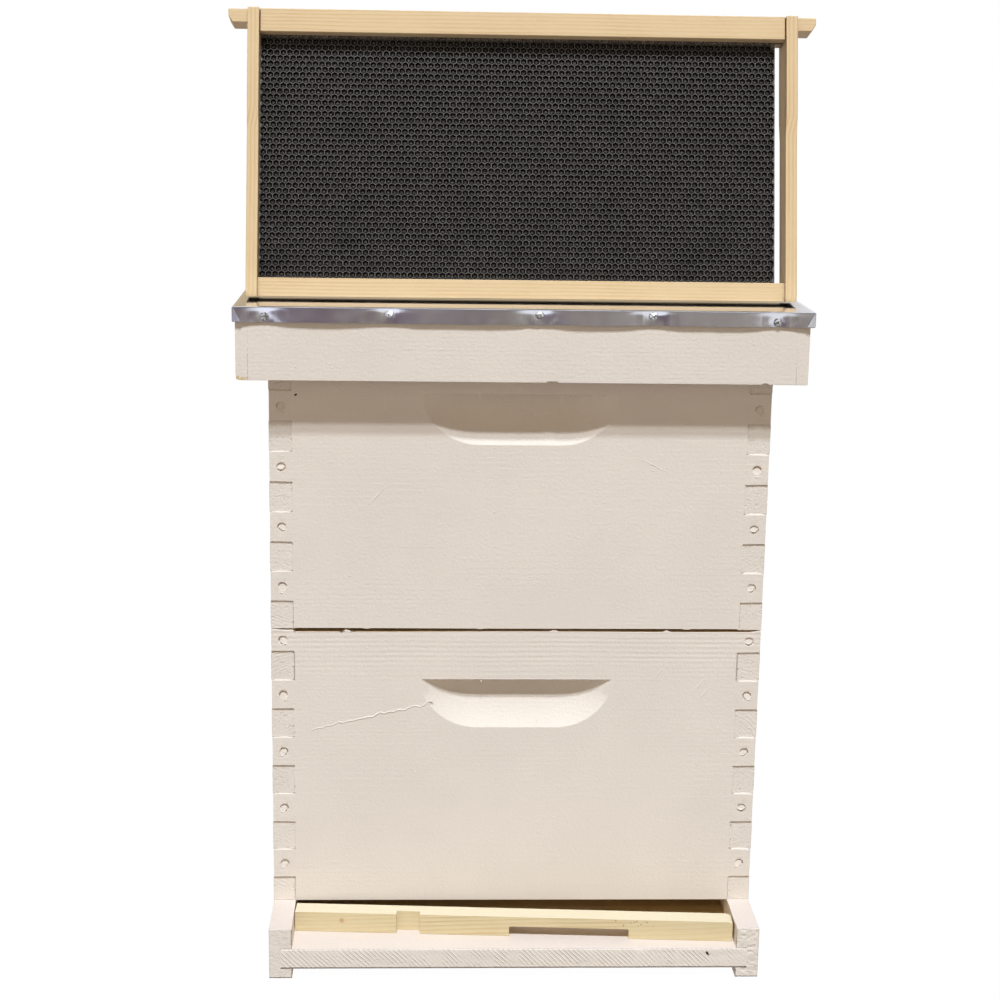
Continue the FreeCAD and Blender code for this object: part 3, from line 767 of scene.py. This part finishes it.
def hive_body(name, rng):
    """The four boards of one hive body, and its nails."""
    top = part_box(name + "_left")[1].z
    for side, grain in GRAINS.items():
        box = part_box(name + "_" + side)
        middle = (box[0] + box[1]) / 2
        outward = (middle - Vector((0, HIVE_Y, middle.z))).normalized()
        pith = middle - outward * rng.uniform(30, 60) * MM
        pith.z += rng.uniform(-60, 60) * MM
        shape = {"front": shape_front(name, top), "back": mark_paint}.get(side, end_grain(pith, side))
        timber(name + "_" + side, name, grain, pith, shape=shape, is_painted=outside(side, top),
               keep_sharp=inside_corner)
    sunk = (0.2 * MM, 0.7 * MM)
    nails(name + "_nails", name, "paint", 0.15 * MM, rng, 2.0, sunk=sunk, upward=0.13)


def all_bodies():
    rng = random.Random(7)
    hive_body("lower_body", rng)
    hive_body("upper_body", rng)


# ---- Bottom board ----
def bottom_board():
    """Side rails with rough sawn ends, the floor with its saw-marked edge, and their nails."""
    rng = random.Random(11)
    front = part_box("left_floor_rail")[0].y
    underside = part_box("floor_board_front")[0].z + HAIR

    def at_joint(place):
        joined = abs(place.x) < BODY_SIDE - 8 * MM
        return place.z < underside or place.y < front + 1 * MM and joined

    def rough_end(low, high, rough):
        def shape(bm):
            front_grid(bm, (low.x, high.x), (low.z, high.z), front + HAIR, 1.1 * MM)
            for vert in bm.verts:
                if vert.co.y < front + 0.02 * MM:
                    pit = ripple(vert.co.x, vert.co.z, 2.6 * MM)
                    wave = ripple(vert.co.x, vert.co.z, 9 * MM, 9)
                    vert.co.y += (0.3 + rough * (max(0.0, pit) + 0.2 * wave)) * MM

        return shape

    def rail_paint(place, normal):
        return normal.z > -0.5

    for side, rough in (("left", 0.5), ("right", 1.2)):
        name = side + "_floor_rail"
        low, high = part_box(name)
        pith = Vector((low.x + rng.uniform(-20, 30) * MM, 0, -rng.uniform(10, 30) * MM))
        shape = rough_end(low, high, rough)
        timber(name, "bottom_board", (0, 1, 0), pith, 0.5 * MM, shape, rail_paint, keep_sharp=at_joint)
    low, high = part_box("rear_floor_rail")
    pith = (low + high) / 2 + mm(0, 40, 15)
    timber("rear_floor_rail", "bottom_board", (1, 0, 0), pith, 0.5 * MM, None, rail_paint)
    for part in ("front", "middle", "rear"):
        name = "floor_board_" + part
        low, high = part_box(name)
        pith = Vector((0, rng.uniform(low.y, high.y), -rng.uniform(15, 30) * MM))

        def sawn_edge(bm):
            front_grid(bm, (low.x, high.x), (low.z, high.z), front + HAIR, 1.5 * MM, 1.6 * MM)
            for vert in bm.verts:
                if vert.co.y < front + 0.02 * MM:
                    x, z = vert.co.x, vert.co.z
                    worn = max(0.0, noise.noise(Vector((x / (35 * MM), 4, z / (8 * MM)))))
                    top_wear = bump_at(high.z - z, 2.5 * MM) * max(0.0, noise.noise((x * 90, 1, 7)))
                    vert.co.y += (0.15 + 0.30 * worn + 0.8 * top_wear) * MM
            slice_up(bm, 1, (front + LANDING,))

        def landing_paint(place, normal):
            return normal.z > -0.5 and place.y < front + LANDING

        shape = sawn_edge if part == "front" else None
        timber(name, "bottom_board", (1, 0, 0), pith, 0.5 * MM, shape, landing_paint,
               end="paint_sawn", is_end=lambda p, n: n.y < -0.7, keep_sharp=at_joint)
    nails("floor_nails", "bottom_board", "paint", 0.4 * MM, rng)


def reducer():
    """The bare, notched cleat lying askew on the landing."""
    low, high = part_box("entrance_reducer")

    def shape(bm):
        slice_up(bm, 0, steps(low.x, high.x, 4 * MM))
        slice_up(bm, 0, steps(high.x - 9 * MM, high.x - 0.5 * MM, 0.8 * MM))
        for vert in bm.verts:
            inward = high.x - vert.co.x
            if inward < 6 * MM and vert.co.z > high.z - 4 * MM:
                vert.co.z -= (6 * MM - inward) ** 2 / (18 * MM)
            worn = 0.12 * MM * (1 + noise.noise(vert.co / (18 * MM)))
            vert.co.z = min(vert.co.z, high.z - worn)

    pith = Vector((0, low.y - 20 * MM, low.z - 26 * MM))
    along = Vector((math.cos(REDUCER_TURN), math.sin(REDUCER_TURN), 0.05))
    timber("entrance_reducer", "entrance_reducer", along, pith, 0.45 * MM, shape, wood="cleat_pine")


# ---- Covers ----
def inner_cover():
    """The inner cover stays as CAD gives it: softened edges, bare pine and a plywood panel."""
    for part in ("left_rim", "right_rim", "front_rim", "back_rim", "panel", "nails"):
        node = NODES["inner_cover_" + part]
        across = part in ("front_rim", "back_rim")
        key = {"panel": "plywood", "nails": "steel"}.get(part, "pine_x" if across else "pine_y")
        use_material(node, key)
        if part != "nails":
            round_edges(node, 0.6 * MM)


def use_material(node, *keys):
    node.data.materials.clear()
    for key in keys:
        node.data.materials.append(MATERIALS[key])


def round_edges(node, width):
    """A modifier that softens a kept CAD node's edges without changing its mesh."""
    weld = node.modifiers.new("weld", "WELD")
    weld.merge_threshold = 0.005 * MM
    bevel = node.modifiers.new("soft_edges", "BEVEL")
    bevel.width = width
    bevel.segments = 2
    bevel.limit_method = "ANGLE"
    bevel.angle_limit = math.radians(40)
    bevel.harden_normals = True


def cover_rims():
    """The painted rim of the outer cover, knocked about at its corners, and its panel."""
    rng = random.Random(19)
    low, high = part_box("outer_cover_front_rim")
    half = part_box("outer_cover_right_rim")[1].x
    corner = Vector((-half, low.y, low.z))

    def worn(bm):
        slice_up(bm, 0, steps(-half, half, 1.3 * MM), lambda f: abs(f.normal.x) < 0.9)
        for vert in bm.verts:
            x, y, z = vert.co
            if z < low.z + 1.5 * MM and y < low.y + 2 * MM:
                chip = max(bump_at(x - 23 * MM, 5 * MM), bump_at(x - 196 * MM, 3 * MM))
                vert.co.z += 1.1 * MM * (chip > 0.4)
        wobble(bm, 45 * MM, 0.05 * MM, 5)

    def broken_corner(bm):
        for axis, start in ((2, low.z), (1, low.y), (0, -half)):
            near = [start + i * 0.9 * MM for i in range(1, 13)]
            slice_up(bm, axis, near, lambda f: (f.calc_center_median() - corner).length < 45 * MM)
        for vert in bm.verts:
            away = (vert.co - corner).length
            broken = bump_at(away, (2.6 + 1.2 * noise.noise(vert.co / (1.4 * MM))) * MM)
            vert.co += Vector((0.6, 0.3, 0.5)) * broken * MM

    def paint_left(place, normal):
        away = place - corner
        ragged = 1 + 0.7 * noise.noise(place / (1.6 * MM))
        return math.hypot(away.x / 8, away.y / 8, away.z / 3.2) > ragged * MM

    def at_joint(place):
        return abs(abs(place.x) - high.x) < 0.1 * MM

    for part, grain in GRAINS.items():
        name = "outer_cover_" + part + "_rim"
        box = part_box(name)
        aside = Vector((rng.uniform(-30, 30), rng.uniform(-30, 30), 45)) * MM
        pith = (box[0] + box[1]) / 2 + aside
        shape = {"front": worn, "left": broken_corner}.get(part)
        timber(name, "outer_cover", grain, pith, 0.45 * MM, shape, paint_left,
               is_end=lambda p, n: False, keep_sharp=at_joint)
    use_material(NODES["outer_cover_panel"], "plywood")
    nails("outer_cover_rim_nails", "outer_cover", "paint", 0.3 * MM, rng)


def sheet_dent(point, out, heads):
    """How far the flange is pressed in at a point, in metres: round every nail, with creases."""
    push = 0.0
    for head, normal in heads:
        if normal.dot(out) < 0.5:
            continue
        across = Vector((-normal.y, normal.x, 0))
        sideways = abs((head - point).dot(across))
        reach = math.hypot(sideways, head.z - point.z)
        (nail, nail_width), (wave, wave_width), (fold, fold_width) = DENT
        push += nail * bump_at(reach, nail_width * MM) + wave * bump_at(sideways, wave_width * MM)
        crease = 1 - abs(noise.noise(Vector((point.x, point.y, point.z * 0.6)) / (7 * MM))) * 2.4
        push += fold * max(0.0, crease) * bump_at(sideways - 10 * MM, fold_width * MM)
    return min(push, DEEPEST_DENT) * MM


def cover_sheet():
    """The sheet over the cover: a tight bend, a flange pressed in at its nails, folded corners."""
    low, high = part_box("outer_cover_metal")
    heads = [(p, n) for p, n, _, _ in nail_heads("outer_cover_metal_nails")]
    x0, x1 = low.x + BEND + 2.0 * MM, high.x - BEND - PLAY
    y0, y1 = low.y + BEND + PLAY, high.y - BEND - PLAY
    nx = round((x1 - x0) / (2.4 * MM))
    ny = round((y1 - y0) / (4.0 * MM))
    top = high.z - 0.05 * MM
    bm = bmesh.new()
    grid = []
    for j in range(ny + 1):
        row = []
        for i in range(nx + 1):
            x = x0 + (x1 - x0) * i / nx
            y = y0 + (y1 - y0) * j / ny
            sag = noise.noise(Vector((x / (90 * MM), y / (60 * MM), 0.3)))
            inside = min(x - x0, x1 - x, y - y0, y1 - y)
            sag *= min(1.0, inside / (12 * MM)) * 0.05 * MM
            row.append(bm.verts.new((x, y, top - 0.08 * MM + sag)))
        grid.append(row)
    for j in range(ny):
        for i in range(nx):
            bm.faces.new((grid[j][i], grid[j][i + 1], grid[j + 1][i + 1], grid[j + 1][i]))
    loop = [grid[0][i] for i in range(nx)]
    loop += [grid[j][nx] for j in range(ny)]
    loop += [grid[ny][nx - i] for i in range(nx)]
    loop += [grid[ny - j][0] for j in range(ny)]

    def outward(point):
        out = Vector((0, 0, 0))
        out.x = (point.x > x1 - 0.1 * MM) - (point.x < x0 + 0.1 * MM)
        out.y = (point.y > y1 - 0.1 * MM) - (point.y < y0 + 0.1 * MM)
        return out

    drop = top - low.z - 0.5 * MM
    profile = []
    for i in range(1, 6):
        angle = math.pi / 2 * i / 5
        profile.append((BEND * math.sin(angle), BEND * (1 - math.cos(angle))))
    for i in range(1, 11):
        profile.append((BEND, BEND + (drop - BEND) * i / 10))

    def bent(base, out, reach, fall):
        point = base + out * reach
        point.z = base.z - fall
        depth = min(1.0, fall / (3.5 * MM))
        push = sheet_dent(point, out, heads) if out.length < 1.1 else 0.0
        waves = 0.5 * noise.noise(point / (34 * MM)) + 0.12 * noise.noise(point / (8 * MM))
        point += out * (PLAY * waves - push) * depth
        free = (fall / drop) ** 1.5
        point.z += free * (0.35 + 0.45 * noise.noise(point / (30 * MM))) * MM
        return point

    previous = loop
    count = len(loop)
    for step, (reach, fall) in enumerate(profile):
        ring = [bm.verts.new(bent(vert.co, outward(vert.co), reach, fall)) for vert in loop]
        for i in range(count):
            j = (i + 1) % count
            strip = bm.faces.new((previous[i], ring[i], ring[j], previous[j]))
            # The bend's faces take the darker sheet copy, painted shade that dims their highlight.
            strip.material_index = int(step < 5)
        previous = ring
    bmesh.ops.recalc_face_normals(bm, faces=bm.faces)
    thicken(bm, SHEET_GAUGE)
    for x, turn in ((x0 - BEND, 1), (x1 + BEND, -1)):
        for y, face in ((y0 - BEND, -1), (y1 + BEND, 1)):
            folded_corner(bm, Vector((x, y, top)), turn, face, drop)
    materials = ("metal", "metal_bend_shaded")
    sheet = new_piece("cover_sheet", bm, "outer_cover", materials)
    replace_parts(sheet, "outer_cover_metal")
    rng = random.Random(5)
    nails("outer_cover_metal_nails", "outer_cover", "old_steel", 1.0 * MM, rng, 7,
          sunk=(1.5 * MM, 1.9 * MM), upward=0.26, swell=1.3)


def thicken(bm, gauge):
    """Gives an open sheet its thickness, inwards, and closes its edge."""
    bm.normal_update()
    inner = {v: bm.verts.new(v.co - v.normal * gauge) for v in list(bm.verts)}
    rim = [e for e in bm.edges if e.is_boundary]
    for face in list(bm.faces):
        bm.faces.new([inner[v] for v in reversed(face.verts)])
    for edge in rim:
        a, b = edge.link_loops[0].vert, edge.link_loops[0].link_loop_next.vert
        bm.faces.new((b, a, inner[a], inner[b]))


def folded_corner(bm, corner, turn, face, drop):
    """The side flange's tab, folded round a corner and cut off aslant. turn and face are +-1."""
    layers = []
    for stand in (0.62, 0.12):
        layer = []
        for across, down in TAB:
            curl = 0.35 * (down / 12.4) ** 2 if stand > 0.5 else 0.0
            y = corner.y + face * (stand + curl) * MM * (0.4 if across < 0 else 1.0)
            z = corner.z - down / 13 * drop
            layer.append(bm.verts.new((corner.x + turn * across * MM, y, z)))
        layers.append(layer)
    outer, inner = layers
    made = [bm.faces.new(outer), bm.faces.new(inner[::-1])]
    for i in range(len(TAB)):
        j = (i + 1) % len(TAB)
        made.append(bm.faces.new((outer[j], outer[i], inner[i], inner[j])))
    bmesh.ops.recalc_face_normals(bm, faces=made)


# ---- Small marks ----
def marks(name, body, slot, material, spots, outward=Vector((0, -1, 0))):
    """Low drops or specks on a face: spots are (place, radius, height, stretch, tilt in degrees)."""
    bm = bmesh.new()
    across = Vector((0, 0, 1)).cross(outward)
    for place, radius, height, stretch, tilt in spots:
        before = set(bm.verts)
        profile = [(0, height), (radius * 0.45, height * 0.85), (radius * 0.8, height * 0.45)]
        profile += [(radius, -0.02 * MM), (radius * 0.9, -0.2 * MM), (0, -0.2 * MM)]
        turned_profile(bm, profile, place, outward, 10)
        lean = math.radians(tilt)
        along = across * math.cos(lean) + Vector((0, 0, 1)) * math.sin(lean)
        for vert in set(bm.verts) - before:
            vert.co += along * (vert.co - place).dot(along) * (stretch - 1)
    bmesh.ops.recalc_face_normals(bm, faces=bm.faces)
    new_piece(name, bm, body, (material,))


def column(rng, x, y, low, high, count):
    """Drops scattered up an upright line."""
    spots = []
    for _ in range(count):
        place = Vector((x + rng.gauss(0, 0.5) * MM, y, rng.uniform(low, high)))
        spots.append((place, rng.uniform(0.3, 0.6) * MM, rng.uniform(0.12, 0.3) * MM, 1.3, 90))
    return spots


def scatter(rng, low, high, count):
    """Drops scattered over a front face between two corners."""
    spots = []
    for _ in range(count):
        place = Vector((rng.uniform(low.x, high.x), low.y, rng.uniform(low.z, high.z)))
        size = rng.uniform(0.35, 0.8) * MM
        spots.append((place, size, size * 0.35, rng.uniform(1, 1.8), rng.uniform(-90, 90)))
    return spots


def ridge(y, start, end, count, sway, bold=1.0):
    """A thin raised line of paint, from start to end as (x, z) in millimetres."""
    spots = []
    tilt = math.degrees(math.atan2(end[1] - start[1], end[0] - start[0]))
    for i in range(count):
        share = i / (count - 1)
        x = start[0] + (end[0] - start[0]) * share
        z = start[1] + (end[1] - start[1]) * share + sway * noise.noise((x / 7, 0, 5))
        size = bold * (0.35 + 0.25 * math.sin(math.pi * share)) * MM
        spots.append((mm(x, y / MM, z), size, 0.55 * size, 2.6, tilt))
    return spots


def small_marks():
    """Drops of paint, scratches and specks on the front faces."""
    rng = random.Random(31)
    low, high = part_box("outer_cover_front_rim")
    spots = scatter(rng, low + mm(20, 0, 8), high - mm(20, 0, 16), 26)
    for side in (-1, 1):
        spots += column(rng, side * high.x, low.y, low.z + 4 * MM, high.z - 16 * MM, 14)
    marks("rim_paint_drops", "outer_cover", "painted_pine", "paint", spots)
    reach = BODY_SIDE - BODY_BOARD
    for name in ("lower_body", "upper_body"):
        low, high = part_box(name + "_front")
        spots = scatter(rng, low + mm(25, 0, 6), high - mm(25, 0, 34), 30)
        for side in (-1, 1):
            spots += column(rng, side * reach, low.y, low.z + 3 * MM, high.z - 22 * MM, 30)
        if name == "upper_body":
            spots += ridge(low.y, (-124, low.z / MM + 108), (-110, low.z / MM + 123), 12, 0.6)
            spots += ridge(low.y, (98, low.z / MM + 148), (122, low.z / MM + 136), 10, 0.8)
            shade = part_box("outer_cover_front_rim")[0].z
            # Painted shade: a flat near-black speck stands for the shaded inside of a pinhole.
            hole = Vector((-reach + 3.3 * MM, low.y - 0.02 * MM, shade - 15.5 * MM))
            speck = [(hole, 0.85 * MM, 0.06 * MM, 1.5, 30)]
            marks("upper_body_pinhole", name, "painted_pine", "hole", speck)
        else:
            spots += ridge(low.y, (-172, low.z / MM + 156), (-71, low.z / MM + 180), 90, 2.6, 1.35)
            for x, z in ((116, 201), (150, 190), (156, 184), (-60, 40)):
                start, end = (x, low.z / MM + z), (x + 9, low.z / MM + z + 11)
                spots += ridge(low.y, start, end, 8, 0.5)
        spots += finger_fillets(name) + nail_beads(name)
        marks(name + "_paint_drops", name, "painted_pine", "paint", spots)
    low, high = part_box("floor_board_front")
    # Painted shade: flat near-black specks stand for the shaded insides of two pinholes.
    hole = Vector((high.x - 34 * MM, low.y + 0.12 * MM, high.z - 4.5 * MM))
    second = hole + mm(1.2, 0, -1.5)
    specks = [(hole, 1.0 * MM, 0.04 * MM, 1.8, -60), (second, 0.6 * MM, 0.04 * MM, 1.2, 0)]
    marks("floor_edge_pinholes", "bottom_board", "painted_pine", "hole", specks)
    reducer_specks(rng)


def finger_fillets(name):
    """Beads of paint along the upward edges of the front board's fingers."""
    front = NODES[name + "_front"].data.vertices
    reach = BODY_SIDE - BODY_BOARD
    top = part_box(name + "_front")[1].z / MM
    spots = []
    for side, size in ((-1, 0.55), (1, 0.95)):
        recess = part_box(name + ("_left" if side < 0 else "_right"))[0].y
        edge = BODY_SIDE - 0.6 * MM
        ends = sorted({round(v.co.z / MM, 1) for v in front if v.co.x * side > edge})
        for level in ends[1::2]:
            if level < top - 1:
                place = Vector((side * (reach + BODY_BOARD / 2), recess + 0.1 * MM, level * MM))
                spots.append((place, size * MM, 0.85 * size * MM, 8.2 / size, 0))
        for below, above in zip(ends[1::2], ends[2::2]):
            place = Vector((side * (reach + 0.1 * MM), recess + 0.1 * MM, (below + above) / 2 * MM))
            spots.append((place, 0.6 * MM, 0.5 * MM, (above - below) / 1.2, 90))
    return spots


def nail_beads(name):
    """Paint run into the lower half of each sunk nail head in a box's front."""
    spots = []
    for place, outward, _, radius in nail_heads(name + "_nails"):
        if outward.y < -0.9:
            below = Vector((place.x, BODY_FRONT + 0.1 * MM, place.z - 0.85 * radius))
            spots.append((below, 0.75 * MM, 0.55 * MM, 2.2, 0))
    return spots


def reducer_specks(rng):
    """Small dark ingrown specks near the top of the cleat's front, right of its middle."""
    low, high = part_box("entrance_reducer")
    outward = Vector((math.sin(REDUCER_TURN), -math.cos(REDUCER_TURN), 0))
    along = Vector((math.cos(REDUCER_TURN), math.sin(REDUCER_TURN), 0))
    corner = Vector((high.x - 17.5 * MM * abs(math.sin(REDUCER_TURN)), low.y, high.z))
    specks = []
    for _ in range(11):
        place = corner - along * rng.gauss(84, 9) * MM + Vector((0, 0, -rng.uniform(0.8, 6) * MM))
        place += outward * 0.01 * MM
        specks.append((place, rng.uniform(0.2, 0.42) * MM, 0.03 * MM, 1.6, rng.uniform(-20, 20)))
    marks("entrance_reducer_specks", "entrance_reducer", "bare_pine", "hole", specks, outward)


# ---- Frames ----
def lean_frame():
    """The standing frame's own axes: X along it, Z up it, origin in the middle of its sheet."""
    bm = node_bmesh("shown_frame_foundation")
    upright = sorted(bm.edges, key=lambda e: e.calc_length())[4]
    up = upright.verts[0].co - upright.verts[1].co
    up = (up if up.z > 0 else -up).normalized()
    centre = sum((v.co for v in bm.verts), Vector()) / len(bm.verts)
    size = [sorted(e.calc_length() for e in bm.edges)[i] for i in (11, 0, 4)]
    bm.free()
    x = Vector((1, 0, 0))
    world = Matrix((x, up.cross(x), up)).transposed().to_4x4()
    world.translation = centre
    return world, size


def hexagon_sheet(width, depth, height):
    """Foundation in its own axes: pressed cells on both faces of a thin sheet."""
    bm = bmesh.new()
    side = CELL_PITCH / math.sqrt(3)
    corners = {}

    def corner(x, z, y):
        key = (round(x / (0.2 * MM)), round(z / (0.2 * MM)), y)
        if key not in corners:
            corners[key] = bm.verts.new((x, y, z))
        return corners[key]

    top = height / 2 - 10 * MM
    rows = int((top + height / 2 - 1 * MM) / (1.5 * side))
    cells = []
    for row in range(rows):
        shift = CELL_PITCH / 2 * (row % 2)
        z = top - side - row * 1.5 * side
        for column in range(int(width / CELL_PITCH - 0.6)):
            x = -width / 2 + 0.55 * CELL_PITCH + shift + column * CELL_PITCH
            for face_y in (-depth / 2, depth / 2):
                ring = []
                for i in range(6):
                    angle = math.radians(30 + 60 * i)
                    ring.append(corner(x + side * math.cos(angle), z + side * math.sin(angle), face_y))
                cells.append(bm.faces.new(ring if face_y > 0 else ring[::-1]))
    bm.normal_update()
    for cell in cells:
        if cell.normal.y * cell.calc_center_median().y < 0:
            cell.normal_flip()
    edges = [e for e in bm.edges if e.is_boundary]
    walls = bmesh.ops.extrude_edge_only(bm, edges=edges)["geom"]
    for item in walls:
        if isinstance(item, bmesh.types.BMVert):
            item.co.y = 0.0
    middle = [v for v in bm.verts if abs(v.co.y) < 0.01 * MM]
    bmesh.ops.remove_doubles(bm, verts=middle, dist=0.05 * MM)
    bmesh.ops.inset_individual(bm, faces=cells, thickness=0.36 * MM, depth=0)
    bmesh.ops.inset_individual(bm, faces=cells, thickness=0.65 * MM, depth=CELL_BASE - depth / 2)
    slab = bmesh.ops.create_cube(bm, size=1.0)["verts"]
    for vert in slab:
        vert.co = Vector((vert.co.x * width, vert.co.y * 1.4 * CELL_BASE, vert.co.z * height))
    return bm


def shown_frame():
    """The frame that stands on the cover."""
    world, (width, depth, height) = lean_frame()
    bm = hexagon_sheet(width, depth, height)
    bm.transform(world)
    sheet = new_piece("shown_frame_cells", bm, "shown_frame", ("plastic",), world)
    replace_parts(sheet, "shown_frame_foundation")
    up = world.to_3x3().col[2]
    back = world.to_3x3().col[1]
    rng = random.Random(23)
    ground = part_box("shown_frame_bottom_bar")[0].z
    across = Vector((1, 0, 0))
    grains = {"top_bar": across, "bottom_bar": across, "left_end_bar": up, "right_end_bar": up}
    for part, grain in grains.items():
        name = "shown_frame_" + part
        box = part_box(name)
        middle = (box[0] + box[1]) / 2
        if part.endswith("end_bar"):
            pith = middle + back * 12 * MM + across * rng.uniform(24, 34) * MM
        else:
            pith = middle + back * 22 * MM - up * rng.uniform(30, 50) * MM

        def shape(bm):
            wobble(bm, 60 * MM, 0.18 * MM, rng.uniform(0, 9))
            for vert in bm.verts:
                vert.co = middle + (vert.co - middle) * SHRINK
                raised = vert.co.z - ground
                if raised < UNDERSIDE:
                    vert.co.z = ground + raised * WEDGE_KEPT
                for i in range(3):
                    vert.co[i] = min(max(vert.co[i], box[0][i] + SPARE), box[1][i] - SPARE)

        timber(name, "shown_frame", grain, pith, SHOWN_EDGE, shape, wood="frame_pine")
    nails("shown_frame_nails", "shown_frame", "steel", 0.2 * MM, rng)


def hanging_frames():
    """The frames inside the boxes stay as CAD gives them, each part in its own material."""
    for name, node in NODES.items():
        if "body" in name or "_frame_" not in name or name.startswith("shown"):
            continue
        low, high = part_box(name)
        middle = (low + high) / 2
        use_material(node, "pine_y", "pine_z", "plain_plastic")
        end = HIVE_Y - low.y - 26.3 * MM
        for face in node.data.polygons:
            offset = abs(face.center.y - HIVE_Y)
            between = low.z + 12.6 * MM < face.center.z < high.z - 12 * MM
            if abs(face.center.x - middle.x) < 2.3 * MM and between and offset < end - HAIR:
                face.material_index = 2
            elif end - HAIR < offset < end + 10 * MM:
                face.material_index = 1
        round_edges(node, 0.6 * MM)


# ---- Stage ----
def room():
    """The world: white to the eye, a grey front and pale sides to metal, a soft glow to the rest."""
    world = bpy.data.worlds.new("studio")
    bpy.context.scene.world = world
    world.use_nodes = True
    shader = Shader.__new__(Shader)
    shader.tree = world.node_tree
    path = shader.add("ShaderNodeLightPath").outputs
    direction = shader.add("ShaderNodeTexCoord").outputs["Generated"]
    x, y, z = shader.add("ShaderNodeSeparateXYZ", {0: direction}).outputs
    fall = {0: z, 1: 0.0, 2: 1.0, 3: AMBIENT_LEVEL, 4: AMBIENT_ABOVE}
    glow = shader.add("ShaderNodeMapRange", fall).outputs[0]
    ambient = shader.mix(1.0, AMBIENT, glow, "MULTIPLY")
    round_about = shader.mix(shader.remap(x, -0.2, 0.2), ROOM_LEFT, ROOM_ROUND)
    front = shader.mix(shader.remap(x, -0.12, 0.14), *ROOM_FRONT)
    mirrored = shader.mix(shader.remap(y, -0.985, -0.84), front, round_about)
    behind = shader.mix(shader.remap(x, -0.095, -0.088), ROOM_CORNER, ROOM_BEHIND)
    behind = shader.mix(shader.remap(x, 0.183, 0.193), behind, ROOM_ROUND)
    mirrored = shader.mix(shader.remap(y, 0.80, 0.90), mirrored, behind)
    direct = shader.maths("SUBTRACT", path["Is Glossy Ray"], path["Diffuse Depth"], clamp=True)
    lit = shader.mix(direct, ambient, mirrored)
    seen = shader.mix(path["Is Camera Ray"], lit, (1.0, 1.0, 1.0))
    shader.feed(shader.tree.nodes["Background"], "Color", seen)


def studio_floor():
    """A pale floor, near white to the eye, that gives back only a little light."""
    bm = bmesh.new()
    bmesh.ops.create_grid(bm, x_segments=1, y_segments=1, size=FLOOR_SIZE)
    mesh = bpy.data.meshes.new("studio_floor")
    bm.to_mesh(mesh)
    bm.free()
    floor = bpy.data.objects.new("studio_floor", mesh)
    bpy.context.scene.collection.objects.link(floor)
    shader = Shader("pale_floor")
    seen = shader.add("ShaderNodeLightPath").outputs["Is Camera Ray"]
    colour = shader.mix(seen, FLOOR_BOUNCE, (FLOOR_SEEN * (1 - FLOOR_GLOW),) * 3)
    glow = shader.times(seen, FLOOR_GLOW)
    shader.feed(shader.surface, "Emission Color", (1.0, 1.0, 1.0, 1.0))
    shader.feed(shader.surface, "Emission Strength", glow)
    mesh.materials.append(shader.finish(Base_Color=colour, Roughness=0.9, Specular_IOR_Level=0.0))
    floor.visible_glossy = False


def lamp(name, kind, place, tint):
    """A lamp in front of the hive. place is its elevation, azimuth, width and power."""
    elevation, azimuth, width, power = place
    light = bpy.data.lights.new(name, kind)
    light.energy = power
    light.color = tint
    if kind == "SUN":
        light.angle = math.radians(width)
    else:
        light.size = width
    holder = bpy.data.objects.new(name, light)
    bpy.context.scene.collection.objects.link(holder)
    e, a = math.radians(elevation), math.radians(azimuth)
    away = Vector((math.sin(a) * math.cos(e), -math.cos(a) * math.cos(e), math.sin(e)))
    holder.location = Vector((0, BODY_FRONT, LAMP_AIM)) + away * LAMP_REACH
    holder.rotation_euler = away.to_track_quat("Z", "Y").to_euler()
    holder.visible_glossy = kind == "SUN"


def studio():
    """Two keys high in front, which give the cover's shadow its double edge, and a broad fill."""
    room()
    studio_floor()
    for i, place in enumerate(KEYS):
        lamp("key_" + str(i + 1), "SUN", place, KEY_TINT)
    lamp("fill", "AREA", FILL, FILL_TINT)


def camera():
    """The camera at the photograph's viewing angle."""
    data = bpy.data.cameras.new("camera")
    data.lens = CAMERA_LENS
    data.sensor_width = 36.0
    eye = bpy.data.objects.new("camera", data)
    turn = Matrix.Rotation(-math.radians(CAMERA_YAW), 4, "Z")
    turn @= Matrix.Rotation(math.radians(90 - CAMERA_PITCH), 4, "X")
    turn @= Matrix.Rotation(math.radians(CAMERA_ROLL), 4, "Z")
    eye.matrix_world = Matrix.Translation(CAMERA_PLACE + Vector((0, HIVE_Y, 0))) @ turn
    bpy.context.scene.collection.objects.link(eye)
    bpy.context.scene.camera = eye
    bpy.context.scene.view_settings.view_transform = "Standard"


all_bodies()
bottom_board()
reducer()
inner_cover()
cover_rims()
cover_sheet()
hanging_frames()
shown_frame()
small_marks()
studio()
camera()

bpy.context.view_layer.update()
